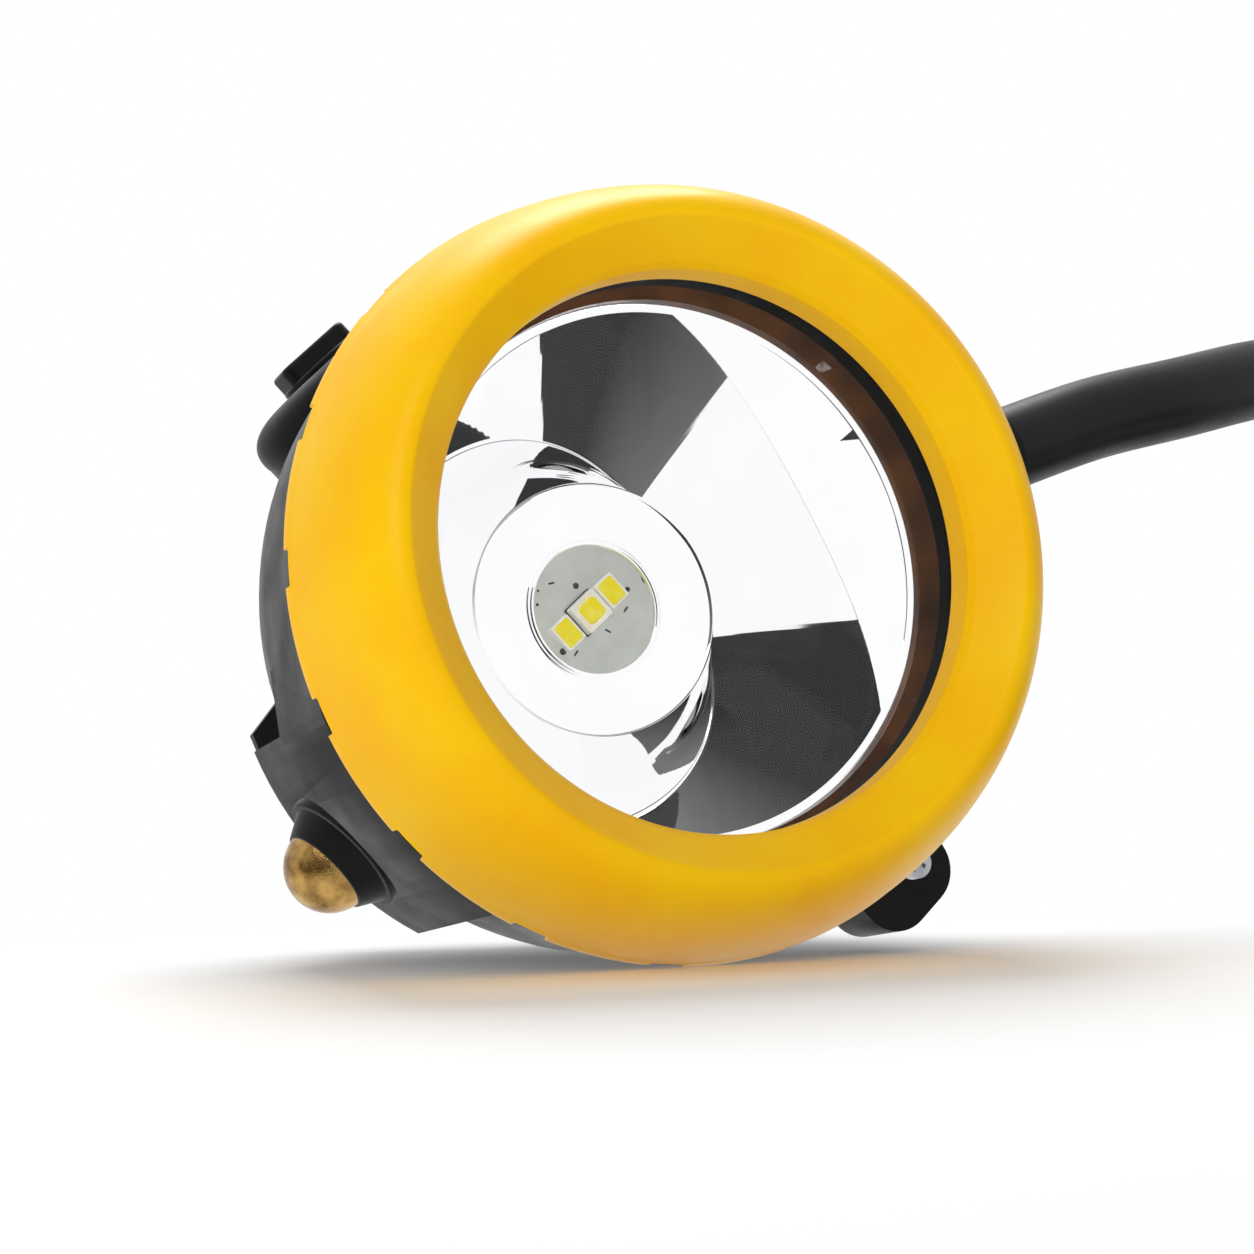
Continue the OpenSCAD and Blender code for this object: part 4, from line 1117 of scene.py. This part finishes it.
# The stud's place round and along the light axis, its shank's radius, and the collar's outer end.
STUD_TURN, STUD_Z = math.radians(-90), -21
SHANK_R, COLLAR_TOP = 2.0, 39.8


class CAPLAMP_OT_stud(bpy.types.Operator):
    """The brass charging stud in its black collar"""

    bl_idname = "caplamp.stud"
    bl_label = "Charging stud"

    def execute(self, context):
        s = sizes(context.scene.caplamp_stud)
        place = LAY @ radial(STUD_TURN, STUD_Z)
        low = span_of("charge_stud", STUD_TURN, STUD_Z)[0]
        middle = s.tip - s.dome_r
        a = np.linspace(math.asin((COLLAR_TOP - middle) / s.dome_r), TAU / 4, 30)
        dome = np.c_[s.dome_r * np.cos(a), middle + s.dome_r * np.sin(a)]
        dome[-1, 0] = 0
        shank = [(0, low), (SHANK_R - 0.2, low), (SHANK_R, low + 0.2), (SHANK_R, COLLAR_TOP)]
        stud = lathe(np.vstack([shank, dome]), 128, closed=False)
        add_piece("stud_dome", stud, "brass", ["charge_stud"], place=place)
        low = span_of("stud_collar", STUD_TURN, STUD_Z)[0]
        collar = soften([
            (SHANK_R, low, 0), (3.5, low, 0), (3.5, 36.4, 0), (6.8, 36.4, 0.1), (6.8, 37.4, 0.25),
            (6.1, 37.42, 0.12), (4.8, 39.75, 0.3), (4.5, COLLAR_TOP, 0.1), (SHANK_R, COLLAR_TOP, 0),
        ])
        add_piece(
            "stud_collar_cone", lathe(collar, 160), "housing_black", ["stud_collar"],
            place=place, crease=30,
        )
        return {"FINISHED"}


# Cable ---------------------------------------------------------------------

# The cable's route, in row millimetres: the same points as in the part's source.
CABLE_R = 4.7
CABLE_EXIT = (42.9258, 6.7077, 53.2787)
CABLE_POINTS = [
    (55.5, 7.5, 57.5), (68, 8, 60.5), (80.5, 10.5, 63.5), (93, 14.5, 65.5), (105.5, 18, 64.5),
    (117.5, 22, 60.5), (128.5, 24.5, 54.5), (139.5, 26, 47), (150, 25, 39.5), (159.5, 20.5, 32),
    (168, 13, 25), (175, 3, 20), (179, -8.5, 16), (181, -21.5, 14.5),
]

# The coil: its middle, its outer radius and its step inwards for each turn; its turns, half of
# them on each layer, the lower layer's height, the upper one's above it, and half of the turns in
# which it drops.
COIL_MID, COIL_R, COIL_PITCH = (124.0, -44.0), 57.0, 10.1
COIL_TURNS, COIL_LOW, COIL_RISE, COIL_DROP = 4, 4.7, 10.0, 0.25


def coil_points(steps=48):
    """The coil's centre line: in on the upper layer, down in its middle half turn, out below.

    With s turns made and u = min(s, turns - s), the radius is R - pitch u, flattened to a parabola
    in the middle, and the height falls by the smooth step w^2 (3 - 2w), where w goes from 0 to 1
    over the middle half turn.
    """
    half, drop = COIL_TURNS / 2, COIL_DROP
    s = np.linspace(0, COIL_TURNS, COIL_TURNS * steps + 1)
    u = np.minimum(s, COIL_TURNS - s)
    parabola = half - drop / 2 - (half - u) ** 2 / (2 * drop)
    r = COIL_R - COIL_PITCH * np.where(u < half - drop, u, parabola)
    w = np.clip((s - half + drop) / (2 * drop), 0, 1)
    z = COIL_LOW + COIL_RISE * (1 - w * w * (3 - 2 * w))
    return np.c_[COIL_MID[0] + r * np.cos(TAU * s), COIL_MID[1] - r * np.sin(TAU * s), z]


class CAPLAMP_OT_cable(bpy.types.Operator):
    """The cable and its coil"""

    bl_idname = "caplamp.cable"
    bl_label = "Cable"

    def execute(self, context):
        coil = coil_points()
        start = coil[0] + [0, 2 * CABLE_R, 0]
        end = coil[-1] - [0, 2 * CABLE_R, 0]
        path = np.vstack([smooth([CABLE_EXIT, *CABLE_POINTS, start], 6), coil, end])
        form = tube(path, CABLE_R)
        sheath = add_piece("cable_sheath", form, "cable_rubber", ["cable", "cable_coil"], place=ROW)
        return {"FINISHED"}


# Inner parts ---------------------------------------------------------------

# What the mirror doesn't show, so that it shows its plain surroundings.
UNMIRRORED = [
    "bezel_ring", "switch_grip", "switch_boss_dome", "stud_dome", "stud_collar_cone",
    "spacer_ring", "lens_gasket", "slip_ring", "rim_seal", "shell",
]

# Rounding of the CAD nodes' edges, in millimetres.
NODE_EDGES = {
    "shell": 0.8,
    "gland_nut": 0.3,
    "battery_bush": 0.3,
    "hook_screws": 0.2,
    "helmet_hook": 0.15,
    "strain_relief": 0.1,
    "ring_lugs": 0.1,
    "lock_screw": 0.06,
}


class CAPLAMP_OT_inner(bpy.types.Operator):
    """Finishes for every CAD node that stays"""

    bl_idname = "caplamp.inner"
    bl_label = "Inner parts"

    def execute(self, context):
        slots = {row["node"]: row["material_slot"] for row in frame["record"]["subparts"]}
        for node, slot in slots.items():
            if not frame["nodes"][node].hide_render:
                dress(node, slot, NODE_EDGES.get(node, 0))
        for name in UNMIRRORED:
            bpy.data.objects[name].visible_glossy = False
        return {"FINISHED"}


# Add-on --------------------------------------------------------------------

GROUPS = {
    "caplamp_stage": StageSettings,
    "caplamp_colours": ColourSettings,
    "caplamp_bezel": BezelSettings,
    "caplamp_optics": OpticSettings,
    "caplamp_switch": SwitchSettings,
    "caplamp_stud": StudSettings,
}
OPERATORS = [
    CAPLAMP_OT_stage,
    CAPLAMP_OT_cable,
    CAPLAMP_OT_bezel,
    CAPLAMP_OT_optics,
    CAPLAMP_OT_switch,
    CAPLAMP_OT_stud,
    CAPLAMP_OT_inner,
]


class CAPLAMP_PT_panel(bpy.types.Panel):
    """The lamp's pieces, and their sizes and colours"""

    bl_idname = "CAPLAMP_PT_panel"
    bl_label = "Cap lamp"
    bl_space_type = "VIEW_3D"
    bl_region_type = "UI"
    bl_category = "Cap lamp"

    def draw(self, context):
        for step in OPERATORS:
            self.layout.operator(step.bl_idname)
        for name, group in GROUPS.items():
            box = self.layout.box()
            for setting in group.__annotations__:
                box.prop(getattr(context.scene, name), setting)


CLASSES = [*GROUPS.values(), *OPERATORS, CAPLAMP_PT_panel]


def register():
    for c in CLASSES:
        bpy.utils.register_class(c)
    for name, group in GROUPS.items():
        setattr(bpy.types.Scene, name, bpy.props.PointerProperty(type=group))


def unregister():
    for name in GROUPS:
        delattr(bpy.types.Scene, name)
    for c in reversed(CLASSES):
        bpy.utils.unregister_class(c)


def main():
    """Builds the stage and the lamp."""
    register()
    bpy.ops.caplamp.stage()
    bpy.ops.caplamp.cable()
    bpy.ops.caplamp.bezel()
    bpy.ops.caplamp.optics()
    bpy.ops.caplamp.switch()
    bpy.ops.caplamp.stud()
    bpy.ops.caplamp.inner()


if __name__ == "__main__":
    main()
